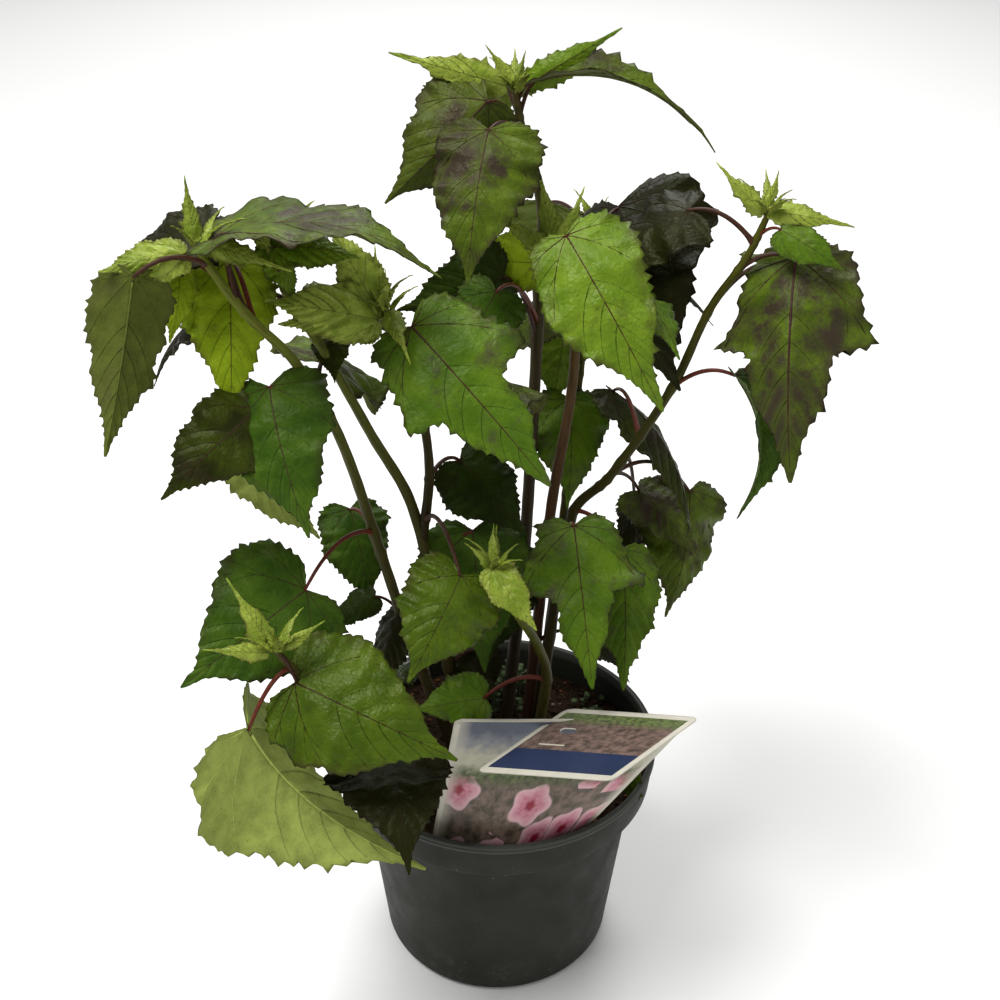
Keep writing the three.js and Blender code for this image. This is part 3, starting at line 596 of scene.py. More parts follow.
def turned_shape(profile, sides):
    """A closed turned body from a profile that starts and ends on the axis."""
    ring = np.array(profile[1:-1], float)
    turn = np.arange(sides) * 2 * math.pi / sides
    places = np.stack([ring[:, 0, None] * np.cos(turn), ring[:, 0, None] * np.sin(turn),
                       np.repeat(ring[:, 1, None], sides, axis=1)], axis=-1)
    ends = [[0, 0, profile[0][1]], [0, 0, profile[-1][1]]]
    faces = capped_faces(len(ring), sides)
    return {"corners": np.concatenate([places.reshape(-1, 3), ends]), "faces": faces,
            "materials": np.zeros(len(faces))}


def bake_map(shapes):
    """Each face corner's place on a sheet where every blade's two faces have a cell of their own."""
    across_cells = math.ceil(math.sqrt(2 * len(shapes)))
    margin = 0.06
    rows = []
    for index, shape in enumerate(shapes):
        flat = shape["flat"][np.array(shape["faces"])]
        cell = 2 * index + shape["cells"][:, None]
        x = (flat[..., 0] + 0.52) / 1.04 * (1 - 2 * margin) + margin
        y = (flat[..., 1] + 0.16) / 1.2 * (1 - 2 * margin) + margin
        rows.append(np.stack([(cell % across_cells + x) / across_cells,
                              (cell // across_cells + y) / across_cells], axis=-1).reshape(-1, 2))
    return np.concatenate(rows)


def add_object(name, data):
    made = bpy.data.objects.new(name, data)
    bpy.context.scene.collection.objects.link(made)
    return made


def mesh_of(name, corners, faces):
    """A mesh in metres from corners in millimetres."""
    mesh = bpy.data.meshes.new(name)
    mesh.from_pydata((np.asarray(corners) * MM).tolist(), [], faces)
    return mesh


def add_piece(name, shapes, materials, nodes=(), flat_shaded=False):
    """One object from shapes, riding on the plant's body."""
    first, faces = 0, []
    for shape in shapes:
        faces += [[first + i for i in face] for face in shape["faces"]]
        first += len(shape["corners"])

    def joined(key, kind=np.float32):
        return np.concatenate([shape[key] for shape in shapes]).astype(kind)

    mesh = mesh_of(name, np.concatenate([shape["corners"] for shape in shapes]), faces)
    for material in materials:
        mesh.materials.append(material)
    mesh.polygons.foreach_set("material_index", joined("materials", np.int32))
    mesh.polygons.foreach_set("use_smooth", np.full(len(faces), not flat_shaded))
    for key in ("rim", "vein", "climb"):
        if all(key in shape for shape in shapes):
            mesh.attributes.new(key, "FLOAT", "POINT").data.foreach_set("value", joined(key))
    if all("pattern" in shape for shape in shapes):
        values = mesh.attributes.new("pattern", "FLOAT_VECTOR", "POINT")
        values.data.foreach_set("vector", joined("pattern").ravel())
    if all("cells" in shape for shape in shapes):
        layer = mesh.uv_layers.new(name="OFBake")
        layer.data.foreach_set("uv", bake_map(shapes).astype(np.float32).ravel())
    mesh.update()
    piece = add_object(name, mesh)
    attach(piece, "root")
    if nodes:
        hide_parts(*nodes)
    return piece


def cut(piece, name, corners, faces):
    """Takes a closed body out of a piece and gives the mesh that the piece had before."""
    cutter = add_object(name, mesh_of(name, corners, faces))
    modifier = piece.modifiers.new(name, "BOOLEAN")
    modifier.operation = "DIFFERENCE"
    modifier.solver = "EXACT"
    modifier.object = cutter
    bpy.context.view_layer.update()
    made = bpy.data.meshes.new_from_object(piece.evaluated_get(bpy.context.evaluated_depsgraph_get()))
    piece.modifiers.remove(modifier)
    before = piece.data
    piece.data = made
    used = cutter.data
    bpy.data.objects.remove(cutter)
    bpy.data.meshes.remove(used)
    return before


# Materials.
def scaled(colour, share):
    return tuple(min(1, share * c) for c in colour)


class Look:
    """A material being made. Each of its short ways to add a node gives that node's output."""

    def __init__(self, name, roughness, specular):
        self.material = bpy.data.materials.new(name)
        self.material.use_nodes = True
        self.tree = self.material.node_tree
        self.skin = self.tree.nodes["Principled BSDF"].inputs
        self.feed(self.skin["Roughness"], roughness)
        self.feed(self.skin["Specular IOR Level"], specular)

    def feed(self, socket, value):
        """Sets a socket to a colour or number, or links it to an output."""
        if isinstance(value, tuple):
            socket.default_value = (*value, 1)
        elif isinstance(value, (int, float, list)):
            socket.default_value = value
        else:
            self.tree.links.new(value, socket)

    def node(self, kind, output, sockets, **settings):
        made = self.tree.nodes.new("ShaderNode" + kind)
        for key, value in settings.items():
            setattr(made, key, value)
        for key, value in sockets.items():
            self.feed(made.inputs[key], value)
        return made.outputs[output]

    def attribute(self, name, output="Fac"):
        return self.node("Attribute", output, {}, attribute_name=name)

    def places(self):
        return self.node("TexCoord", "Object", {})

    def noise(self, where, scale, detail=4.0, roughness=0.55):
        return self.node("TexNoise", "Fac", {"Vector": where, "Scale": scale, "Detail": detail,
                                             "Roughness": roughness})

    def ramp(self, value, low, high, dark=0.0, light=1.0):
        """A value stretched so that low becomes dark and high becomes light."""
        return self.node("MapRange", "Result", {"Value": value, "From Min": low, "From Max": high,
                                                "To Min": dark, "To Max": light})

    def spots(self, where, scale, detail, low, high, dark=0.0, light=1.0, roughness=0.55):
        return self.ramp(self.noise(where, scale, detail, roughness), low, high, dark, light)

    def net(self, where, scale, width):
        """Light along the lines between cells, like a leaf's finest veins."""
        cells = self.node("TexVoronoi", "Distance", {"Vector": where, "Scale": scale},
                          feature="DISTANCE_TO_EDGE")
        return self.ramp(cells, 0.0, width, 1.0, 0.0)

    def math(self, operation, first, second=0.0):
        return self.node("Math", "Value", {0: first, 1: second}, operation=operation)

    def times(self, first, second):
        return self.math("MULTIPLY", first, second)

    def apart(self, vector):
        """A vector's x, y and z."""
        x = self.node("SeparateXYZ", "X", {"Vector": vector})
        return x, x.node.outputs["Y"], x.node.outputs["Z"]

    def mix(self, share, first, second):
        """Two colours mixed. The node's sockets for colours are its seventh and eighth."""
        return self.node("Mix", 2, {0: share, 6: first, 7: second}, data_type="RGBA")

    def bump(self, height, strength, distance_mm):
        relief = self.node("Bump", "Normal", {"Strength": strength, "Distance": distance_mm * MM,
                                              "Height": height})
        self.feed(self.skin["Normal"], relief)

    def wrinkles(self, where, net, strength, bump_strength, bump_mm):
        """The puckered relief of a leaf: soft cushions between the finest veins, and a fine grain."""
        grain = self.times(self.noise(where, 1.4, 4.0, 0.6), 0.12)
        total = self.math("ADD", self.noise(where, 0.22, 3.0, 0.5), grain)
        height = self.math("SUBTRACT", total, self.times(net, strength))
        self.bump(height, bump_strength, bump_mm)

    def done(self, colour):
        self.feed(self.skin["Base Color"], colour)
        return self.material


def hues(dim, bright, blotch, share, margin, glow, under, vein):
    """A leaf's colours: its face's two greens, its blotches and their share, its margin, the glow
    beside its veins, its under face and its main veins."""
    return {"dim": dim, "bright": bright, "blotch": blotch, "share": share, "margin": margin,
            "glow": glow, "under": under, "vein": vein}


TINTS = {
    "young": hues((0.13, 0.20, 0.010), (0.29, 0.36, 0.045), (0.12, 0.09, 0.02), 0.1,
                  (0.12, 0.11, 0.02), (0.40, 0.44, 0.09), (0.22, 0.27, 0.04), (0.08, 0.09, 0.012)),
    "fresh": hues((0.036, 0.070, 0.002), (0.068, 0.112, 0.004), (0.04, 0.045, 0.006), 0.15,
                  (0.04, 0.035, 0.006), (0.09, 0.14, 0.010), (0.11, 0.15, 0.02),
                  (0.030, 0.012, 0.006)),
    "lime": hues((0.080, 0.150, 0.005), (0.150, 0.240, 0.013), (0.06, 0.065, 0.015), 0.35,
                 (0.05, 0.05, 0.01), (0.18, 0.27, 0.025), (0.15, 0.20, 0.03),
                 (0.045, 0.015, 0.007)),
    # lit: a brighter copy of the greens for leaves that stand in light, painted light rather than their
    # own colour
    "lit": hues((0.20, 0.30, 0.006), (0.30, 0.42, 0.016), (0.11, 0.11, 0.008), 0.2,
                (0.07, 0.06, 0.01), (0.24, 0.32, 0.01), (0.24, 0.33, 0.015), (0.07, 0.05, 0.008)),
    "leafy": hues((0.050, 0.110, 0.004), (0.095, 0.168, 0.008), (0.070, 0.064, 0.034), 0.5,
                  (0.03, 0.028, 0.01), (0.11, 0.18, 0.02), (0.12, 0.17, 0.03),
                  (0.042, 0.012, 0.010)),
    "mature": hues((0.024, 0.062, 0.004), (0.058, 0.112, 0.008), (0.04, 0.04, 0.015), 0.3,
                   (0.024, 0.026, 0.008), (0.075, 0.13, 0.018), (0.10, 0.15, 0.03),
                   (0.040, 0.016, 0.010)),
    "deep": hues((0.009, 0.019, 0.0015), (0.020, 0.038, 0.0025), (0.022, 0.016, 0.007), 0.4,
                 (0.013, 0.011, 0.004), (0.034, 0.062, 0.007), (0.05, 0.08, 0.015),
                 (0.026, 0.009, 0.006)),
    "dusk": hues((0.007, 0.007, 0.0008), (0.014, 0.015, 0.002), (0.017, 0.010, 0.006), 0.5,
                 (0.012, 0.008, 0.004), (0.023, 0.028, 0.005), (0.032, 0.040, 0.010),
                 (0.022, 0.008, 0.006)),
    "bronze": hues((0.013, 0.015, 0.002), (0.034, 0.048, 0.003), (0.034, 0.022, 0.015), 0.5,
                   (0.030, 0.034, 0.004), (0.040, 0.052, 0.010), (0.070, 0.088, 0.018),
                   (0.036, 0.012, 0.009)),
    "mauve": hues((0.042, 0.070, 0.004), (0.088, 0.135, 0.009), (0.044, 0.028, 0.022), 0.75,
                  (0.030, 0.019, 0.013), (0.10, 0.125, 0.020), (0.11, 0.13, 0.025),
                  (0.040, 0.013, 0.012)),
    "pale": hues((0.080, 0.140, 0.008), (0.110, 0.175, 0.014), (0.07, 0.06, 0.02), 0.2,
                 (0.06, 0.055, 0.018), (0.15, 0.21, 0.04), (0.33, 0.40, 0.090),
                 (0.045, 0.02, 0.012)),
    "blush": hues((0.048, 0.070, 0.006), (0.075, 0.100, 0.010), (0.050, 0.032, 0.024), 0.6,
                  (0.026, 0.016, 0.010), (0.09, 0.115, 0.020), (0.088, 0.108, 0.018),
                  (0.035, 0.013, 0.010)),
}
TINT_NAMES = list(TINTS)
WAX = (0.95, 1.0, 0.62)
GLOSS = {"young": 0.3, "fresh": 0.2, "lime": 0.2, "leafy": 0.16}
CUSHIONS = {"young": 0.2, "fresh": 0.16, "lime": 0.14}


def patch_edge(tint):
    """The noise above which blotches show: the lower, the larger their share."""
    return 0.66 - 0.26 * tint["share"]


def leaf_top(name):
    tint = TINTS[name]
    look = Look("leaf_" + name, 0.42, GLOSS.get(name, 0.11))
    look.feed(look.skin["Specular Tint"], WAX)
    pattern = look.attribute("pattern", "Vector")
    vein, rim = look.attribute("vein"), look.attribute("rim")
    mottle = look.spots(pattern, 0.06, 6.0, 0.38, 0.64, roughness=0.6)
    colour = look.mix(mottle, tint["dim"], tint["bright"])
    net = look.times(look.net(pattern, 0.4, 0.07), 0.3)
    colour = look.mix(net, colour, scaled(tint["dim"], 0.6))
    colour = look.mix(look.times(vein, 0.2), colour, tint["glow"])
    edge = patch_edge(tint)
    patches = look.spots(pattern, 0.035, 8.0, edge, edge + 0.12, roughness=0.68)
    patches = look.times(patches, look.ramp(vein, 0.0, 0.9, 0.95, 0.5))
    colour = look.mix(patches, colour, scaled(tint["blotch"], 0.8))
    worn = look.times(look.ramp(rim, 0.7, 1.0), look.spots(pattern, 0.1, 4.0, 0.4, 0.6))
    colour = look.mix(look.times(worn, 0.85), colour, tint["margin"])
    colour = look.mix(look.ramp(rim, 0.955, 1.0, 0.0, 0.7), colour, scaled(tint["margin"], 0.7))
    specks = look.spots(pattern, 0.8, 2.0, 0.7, 0.76, 0.0, 0.5)
    colour = look.mix(specks, colour, tint["margin"])
    look.feed(look.skin["Roughness"], look.spots(pattern, 0.2, 4.0, 0.3, 0.7, 0.32, 0.5))
    look.wrinkles(pattern, look.net(pattern, 0.33, 0.3), CUSHIONS.get(name, 0.1), 0.6, 1.4)
    return look.done(colour)


def leaf_under(name):
    tint = TINTS[name]
    under = tint["under"]
    look = Look("underleaf_" + name, 0.6, 0.06)
    look.feed(look.skin["Specular Tint"], WAX)
    pattern = look.attribute("pattern", "Vector")
    colour = look.mix(look.spots(pattern, 0.12, 5.0, 0.35, 0.65), under, scaled(under, 0.72))
    net = look.net(pattern, 0.32, 0.08)
    colour = look.mix(look.times(net, 0.35), colour, scaled(under, 1.15))
    edge = patch_edge(tint)
    patches = look.spots(pattern, 0.035, 8.0, edge, edge + 0.14, roughness=0.68)
    mixed = tuple(0.6 * a + 0.4 * b for a, b in zip(tint["blotch"], under))
    colour = look.mix(look.times(patches, 0.75), colour, mixed)
    rim = look.ramp(look.attribute("rim"), 0.8, 1.0)
    colour = look.mix(look.times(rim, 0.5), colour, mixed)
    look.wrinkles(pattern, net, -0.05, 0.5, 1.2)
    return look.done(colour)


def speckled(name, first, second, roughness, scale, specular=0.12):
    """A plain stuff of two colours mixed by noise in the tube's own run, with a fine relief."""
    look = Look(name, roughness, specular)
    pattern = look.attribute("pattern", "Vector")
    look.bump(look.noise(pattern, 4 * scale), 0.4, 0.3)
    return look.done(look.mix(look.spots(pattern, scale, 5.0, 0.35, 0.65), first, second))


def stem_bark(name, foot, middle, tip):
    """Bark that goes from its foot's colour to its tip's, streaked along and dotted with pores."""
    look = Look(name, 0.5, 0.09)
    pattern, climb = look.attribute("pattern", "Vector"), look.attribute("climb")
    colour = look.mix(look.ramp(climb, 0.1, 0.5), foot, middle)
    colour = look.mix(look.ramp(climb, 0.5, 0.9), colour, tip)
    stretched = look.node("Mapping", "Vector", {"Vector": pattern, "Scale": [1, 1, 0.12]})
    streaks = look.noise(stretched, 0.6, 5.0)
    colour = look.mix(look.ramp(streaks, 0.5, 0.75, 0.0, 0.7), colour, scaled(foot, 0.45))
    pores = look.times(look.spots(pattern, 1.3, 2.0, 0.66, 0.72), 0.6)
    look.bump(streaks, 0.5, 0.6)
    return look.done(look.mix(pores, colour, scaled(middle, 1.8)))


LEAF_MATERIALS = [made(name) for name in TINT_NAMES for made in (leaf_top, leaf_under)]
# Ribs: on the upper face along main and side veins, then the same on the under face. Each row is
# the kind, the tint's part that it is coloured by, two shares of that colour, and its roughness.
RIB_KINDS = [("vein_", "vein", 1.0, 1.4, 0.45), ("sidevein_", "dim", 0.4, 0.6, 0.5),
             ("ribs_", "under", 1.0, 1.35, 0.55), ("sideribs_", "under", 0.45, 0.65, 0.55)]
VEIN_MATERIALS = [
    speckled(kind + name, scaled(TINTS[name][part], first), scaled(TINTS[name][part], second), rough, 0.4)
    for kind, part, first, second, rough in RIB_KINDS for name in TINT_NAMES]
STALK_MATERIALS = [
    speckled("stalk_red", (0.075, 0.013, 0.007), (0.15, 0.030, 0.012), 0.4, 0.5, 0.2),
    speckled("stalk_brown", (0.030, 0.009, 0.005), (0.062, 0.022, 0.008), 0.45, 0.5, 0.2),
    speckled("stalk_green", (0.10, 0.12, 0.012), (0.16, 0.18, 0.02), 0.45, 0.5, 0.2),
]
STALK_OF_TINT = {"young": 2, "fresh": 1, "lime": 1, "deep": 1, "dusk": 1, "mauve": 1, "blush": 1}
BARKS = {
    "green": stem_bark("bark_green", (0.038, 0.027, 0.009), (0.055, 0.050, 0.009), (0.13, 0.15, 0.018)),
    "olive": stem_bark("bark_olive", (0.026, 0.019, 0.005), (0.032, 0.026, 0.004), (0.070, 0.070, 0.008)),
    "brown": stem_bark("bark_brown", (0.030, 0.020, 0.010), (0.040, 0.028, 0.012), (0.07, 0.06, 0.016)),
    "red": stem_bark("bark_red", (0.045, 0.020, 0.010), (0.070, 0.030, 0.012), (0.08, 0.05, 0.014)),
}


# The plant.
def stalk_shape(item):
    root, _ = stalk_ends(item)
    nought = np.array([0.0])
    end = blade_surface(item, nought, np.array([PETIOLE_ROOT]), nought)[0]
    middle = 0.5 * (root + end)
    middle[2] += 2 * PETIOLE_BOW * np.linalg.norm(end - root)
    t = np.linspace(0, 1, 22)
    points = bow(root, middle, end, t[:, None])
    radii = PETIOLE_FOOT_RADIUS + (PETIOLE_TIP_RADIUS - PETIOLE_FOOT_RADIUS) * t
    small = min(1.0, 0.35 + item["stalk"][2] / 40)
    swell = 0.9 + 0.45 * np.exp(-((t / 0.07) ** 2)) - 0.2 * np.exp(-(((1 - t) / 0.05) ** 2))
    return tube_shape(points, radii * small * swell, 10, STALK_OF_TINT.get(item["tint"], 0))


def rib_shape(points, up, half_width, height, material):
    """A low three-sided ridge along points, tapering to its tip."""
    count = len(points)
    side = unit(np.cross(unit(np.gradient(points, axis=0)), up))
    taper = np.linspace(1, 0.35, count)[:, None]
    rings = np.stack([points - side * half_width * taper - up * RIB_DEPTH_MM,
                      points + side * half_width * taper - up * RIB_DEPTH_MM,
                      points + up * (height * taper + RIB_LIFT_MM)], axis=1)
    last = 3 * (count - 1)
    faces = ring_faces(count, 3) + [[2, 1, 0], [last, last + 1, last + 2]]
    arc = np.linspace(0, 1, count)[:, None, None] * np.linalg.norm(points[-1] - points[0])
    pattern = np.broadcast_to(arc, (count, 3, 1)) * [0, 0, 1.0] + rings * 0.02
    return {"corners": rings.reshape(-1, 3), "faces": faces,
            "materials": np.full(len(faces), material), "pattern": pattern.reshape(-1, 3)}


def vein_shapes(item, blade):
    """Ribs laid on the blade along its veins: on its upper face and, taller, on its under face."""
    index, count = TINT_NAMES.index(item["tint"]), len(TINT_NAMES)
    length = item["blade"][2]
    reach = 0.3 * length
    _, _, up = blade_frame(item)
    sides = {}
    for sign, wanted in ((1, 0), (-1, 1)):
        chosen = [face for face, cell in zip(blade["faces"], blade["cells"]) if cell == wanted]
        sides[sign] = BVHTree.FromPolygons(blade["corners"].tolist(), chosen)
    lines = [(MIDRIB, MIDRIB_WIDTH, True, 1)]
    lines += [(line, width, main, side) for line, width, main in VEINS[item["kind"]] for side in (-1, 1)]
    if item["kind"] == "slim":
        first_side = 1 + 2 * len(MAIN_VEINS)
        lines = lines[:1] + lines[first_side:first_side + 2 * len(SIDE_VEINS)]
    shapes = []
    for line, width, main, side in lines:
        flat = blade_surface(item, side * line[:, 0], line[:, 1], np.zeros(len(line)))
        half_width = max(RIB_WIDTH * width * length, THINNEST_RIB_MM)
        for sign, tall, first in ((1, UPPER_RIB_HEIGHT, 0), (-1, UNDER_RIB_HEIGHT, 2 * count)):
            if sign < 0 and width <= BRANCH_WIDTH:
                continue
            hits = [sides[sign].ray_cast(place + sign * reach * up, -sign * up)[0] for place in flat]
            laid = np.array([hit for hit in hits if hit is not None])
            if len(laid) < 4:
                continue
            kind = first + (0 if main else count) + index
            shapes.append(rib_shape(laid, sign * up, half_width, tall * half_width, kind))
    return shapes


def shoot_shape(shoot):
    """A stem: thicker near each leaf's foot, drawn in at its tip and lightly ridged."""
    places = np.linspace(0, 1, 150)
    swell = np.zeros(len(places))
    for item in LEAVES:
        if item["shoot"] == shoot:
            swell += 0.18 * np.exp(-(((places - item["up"]) / 0.008) ** 2))
    foot, tip = SHOOTS[shoot]["radii"]
    radii = (foot + (tip - foot) * places) * (1 + np.minimum(swell, 0.35))
    radii = radii * np.where(places > 0.94, 1 - 0.6 * (places - 0.94) / 0.06, 1)

    def ridges(turn, arc):
        return (1 + 0.035 * np.sin(5 * turn + 0.02 * arc) + 0.02 * np.sin(9 * turn - 0.05 * arc)
                + 0.02 * np.sin(0.35 * arc + 2 * turn))

    return tube_shape(shoot_points(shoot, places), radii, 18, 0, ridges)


def young_leaves(shoot):
    """Half-open leaves at a shoot's tip, by a seeded rule, within the foliage's reach."""
    seed = shares(sum(ord(letter) for letter in shoot) * 97)
    found = []
    for i in range(6):
        turn = i * 137.5 + 40 * seed()
        rise = 30 + 45 * seed()
        size = 9 + 13 * seed()
        made = leaf(shoot, 0.965 + 0.005 * i, [turn, rise, 2.5], [turn, -rise * 0.8, size],
                    [20 * (seed() - 0.5), 0.12, 0.45], "slim", "young")
        made["phase"] = i * RIPPLE_PHASE
        made["number"] = 500 + 10 * len(shoot) + i
        found.append(made)
    return found


def add_leaves(names, leaves, replaced):
    """Three pieces with the names given: the leaves' blades, the ribs on them and their stalks."""
    blades = [blade_shape(item) for item in leaves]
    veins = [shape for item, blade in zip(leaves, blades) for shape in vein_shapes(item, blade)]
    add_piece(names[0], blades, LEAF_MATERIALS, replaced)
    add_piece(names[1], veins, VEIN_MATERIALS, ())
    add_piece(names[2], [stalk_shape(item) for item in leaves], STALK_MATERIALS, ())


def build_plant():
    for shoot, sizes in SHOOTS.items():
        own = [item for item in LEAVES if item["shoot"] == shoot]
        low = [item for item in own if item["up"] <= sizes["bare"] and item not in LOW_LEAVES]
        replaced = ["foliage_" + shoot] + [f"leaf_{shoot}_{i + 1}" for i in range(len(low))]
        names = [kind + shoot for kind in ("blades_", "veins_", "stalks_")]
        add_leaves(names, own + young_leaves(shoot), replaced)
        add_piece("shoot_" + shoot, [shoot_shape(shoot)], [BARKS[sizes["bark"]]], ["stem_" + shoot])
    add_leaves(["seedling_blade", "seedling_veins", "seedling_stalk"], [SEEDLING], ())


# The pot.
def arc_points(centre, radius, first, last, count=6):
    angles = np.radians(np.linspace(first, last, count))
    return [[centre[0] + radius * math.cos(a), centre[1] + radius * math.sin(a)] for a in angles]


def pot_profile():
    """The wall's outline from the middle of its underside, out and up, and back down inside."""
    ridge = LIP_RADIUS - 0.35
    inner_lip = LIP_RADIUS - 2 * POT_WALL
    body = [[BASE_RADIUS + (BODY_TOP_RADIUS - BASE_RADIUS) * share,
             BASE_ROUND + (BODY_TOP - BASE_ROUND) * share] for share in np.linspace(0.06, 0.97, 12)]
    return [
        [0, 0], [BASE_RADIUS - BASE_ROUND - 8, 0],
        *arc_points((BASE_RADIUS - BASE_ROUND, BASE_ROUND), BASE_ROUND, -90, -4), *body,
        [BODY_TOP_RADIUS + 0.4, BODY_TOP - 0.3], [BAND_FOOT_RADIUS - 0.9, BAND_FOOT - 0.6],
        [BAND_FOOT_RADIUS - 0.1, BAND_FOOT + 0.2], [BAND_FOOT_RADIUS + 0.1, BAND_FOOT + 1.2],
        [BAND_FOOT_RADIUS + 0.9, BAND_FOOT + 9], [LIP_RADIUS - 1.2, LIP_FOOT - 0.4],
        [LIP_RADIUS - 0.3, LIP_FOOT + 0.1], [LIP_RADIUS, LIP_FOOT + 0.8],
        [LIP_RADIUS, LIP_FOOT + 1.8], [ridge, LIP_FOOT + 2.2], [ridge, LIP_FOOT + 2.7],
        [LIP_RADIUS, LIP_FOOT + 3.1], *arc_points((LIP_RADIUS - 1, POT_HEIGHT - 1), 1, 10, 90, 5),
        [LIP_RADIUS - 1.6, POT_HEIGHT - 0.35], [LIP_RADIUS - 2.2, POT_HEIGHT - 0.05],
        [LIP_RADIUS - 3.1, POT_HEIGHT - 0.3], [inner_lip, POT_HEIGHT - 1.2],
        [inner_lip - 0.4, LIP_FOOT], [BAND_FOOT_RADIUS - POT_WALL, BAND_FOOT + POT_WALL],
        [BODY_TOP_RADIUS - POT_WALL, BODY_TOP + 1], [BASE_RADIUS - POT_WALL, BASE_ROUND],
        [BASE_RADIUS - BASE_ROUND, POT_WALL], [0, POT_WALL],
    ]


def pot_plastic():
    """Dark matte moulded plastic: faint smears and flecks, a paler lip that is a painted highlight, and
    dust low down.
    """
    look = Look("pot_plastic", 0.5, 0.14)
    places = look.places()
    _, _, height = look.apart(places)
    mottle = look.spots(places, 25.0, 5.0, 0.35, 0.65)
    colour = look.mix(mottle, (0.018, 0.0185, 0.014), (0.025, 0.026, 0.020))
    # Painted highlight: the whole lip above 140 mm is mixed toward a paler grey.
    colour = look.mix(look.ramp(height, 0.1385, 0.1405, 0.0, 0.75), colour, (0.060, 0.064, 0.055))
    dust = look.spots(places, 130.0, 6.0, 0.55, 0.7, roughness=0.7)
    dust = look.times(look.times(look.ramp(height, 0.035, 0.0), dust), 0.8)
    colour = look.mix(dust, colour, (0.10, 0.075, 0.05))
    smears = look.spots(places, 12.0, 3.0, 0.55, 0.75, 0.0, 0.35, roughness=0.5)
    colour = look.mix(smears, colour, (0.032, 0.034, 0.027))
    flecks = look.spots(places, 420.0, 2.0, 0.72, 0.76, 0.0, 0.5)
    colour = look.mix(flecks, colour, (0.2, 0.19, 0.17))
    look.feed(look.skin["Roughness"], look.spots(places, 60.0, 4.0, 0.3, 0.7, 0.48, 0.68))
    look.bump(look.noise(places, 1500.0, 3.0), 0.12, 0.2)
    return look.done(colour)


def build_pot():
    piece = add_piece("pot_body", [turned_shape(pot_profile(), POT_SIDES)], [pot_plastic()], ["pot"])
    for i in range(DRAIN_HOLES):
        turn = 2 * math.pi * i / DRAIN_HOLES
        hole = turned_shape([[0, -3], [DRAIN_RADIUS, -3], [DRAIN_RADIUS, 4], [0, 4]], 32)
        middle = [DRAIN_CIRCLE * math.cos(turn), DRAIN_CIRCLE * math.sin(turn), 0]
        bpy.data.meshes.remove(cut(piece, "drain_cutter", hole["corners"] + middle, hole["faces"]))
    piece.data.name = "pot_body"
    piece.data.set_sharp_from_angle(angle=math.radians(40))


# The soil.
def soil_height(x, y):
    """The soil's surface, in millimetres: a low mound with lumps."""
    spread = math.hypot(x, y) / (BODY_TOP_RADIUS + 7)
    mound = SOIL_LEVEL - SOIL_MOUND * (1 - math.cos(math.pi / 2 * min(1, spread)))
    lumps = 2.2 * noise.noise(Vector((x / 14, y / 14, 3.1))) + 1.3 * noise.noise(Vector((x / 5, y / 5, 9)))
    fine = 0.7 * noise.noise(Vector((x / 2.1, y / 2.1, 4)))
    return mound + lumps + fine - 0.6


def soil_shape():
    inside = POT_WALL + SOIL_GAP
    edge = BAND_FOOT_RADIUS - inside
    foot = [[0, inside], [BASE_RADIUS - BASE_ROUND - SOIL_GAP, inside],
            [BASE_RADIUS - inside, BASE_ROUND + SOIL_GAP], [BODY_TOP_RADIUS - inside, BODY_TOP + 1.5],
            [edge, BAND_FOOT + inside]]
    rings = [[edge * share, 0] for share in np.linspace(1, 0, SOIL_RINGS + 1)[:-1]]
    shape = turned_shape(foot + rings + [[0, SOIL_LEVEL]], SOIL_SIDES)
    corners = shape["corners"]
    for k in [*range((len(foot) - 1) * SOIL_SIDES, len(corners) - 2), -1]:
        corners[k, 2] = soil_height(corners[k, 0], corners[k, 1])
    return shape


def crumb_ball():
    """The corners of a ball of twenty triangles and its faces, turned outward."""
    golden = (1 + 5 ** 0.5) / 2
    ball = np.array([[0, s, t * golden] for s in (-1, 1) for t in (-1, 1)], float)
    ball = unit(np.concatenate([ball, ball[:, [1, 2, 0]], ball[:, [2, 0, 1]]]))
    longest_edge = 1.1
    faces = []
    for i, j, k in combinations(range(12), 3):
        a, b, c = ball[[i, j, k]]
        if max(np.linalg.norm(a - b), np.linalg.norm(b - c), np.linalg.norm(a - c)) < longest_edge:
            faces.append([i, j, k] if np.cross(b - a, c - a) @ a > 0 else [i, k, j])
    return ball, faces


def crumb_shapes(material, count, seed, smallest, largest, flatness):
    """Lumps strewn on the soil: low-sided balls with uneven corners."""
    following = shares(seed)
    ball, faces = crumb_ball()
    shapes = []
    for _ in range(count):
        radius, turn = CRUMB_REACH * math.sqrt(following()), 2 * math.pi * following()
        x, y = radius * math.cos(turn), radius * math.sin(turn)
        size = smallest + (largest - smallest) * following() ** 2.5
        stretch = np.array([0.7 + 0.8 * following(), 0.7 + 0.6 * following(), flatness])
        uneven = np.array([0.75 + 0.5 * following() for _ in range(12)])[:, None]
        spin = Matrix.Rotation(6.28 * following(), 3, "Z") @ Matrix.Rotation(0.7 * following(), 3, "X")
        corners = (ball * uneven * stretch * size) @ np.array(spin)
        corners = corners + [x, y, soil_height(x, y) + 0.25 * size]
        shapes.append({"corners": corners, "faces": faces, "materials": np.full(len(faces), material)})
    return shapes


def earth(name, first, second, roughness=0.9):
    look = Look(name, roughness, 0.06)
    places = look.places()
    look.bump(look.noise(places, 900.0, 6.0, 0.7), 0.8, 1.0)
    return look.done(look.mix(look.spots(places, 160.0, 6.0, 0.36, 0.66, roughness=0.7), first, second))


# Crumbs: their stuff and its two colours, then how many, seed, smallest, largest and flatness.
CRUMB_REACH = 88
CRUMBS = [
    (("crumb_dark", (0.014, 0.008, 0.004), (0.040, 0.022, 0.012)), (1300, 11, 0.5, 2.6, 0.75)),
    (("crumb_red", (0.10, 0.035, 0.018), (0.16, 0.065, 0.03)), (420, 23, 0.4, 1.9, 0.6)),
    (("crumb_pale", (0.12, 0.09, 0.06), (0.20, 0.16, 0.11)), (120, 37, 0.3, 1.2, 0.7)),
]
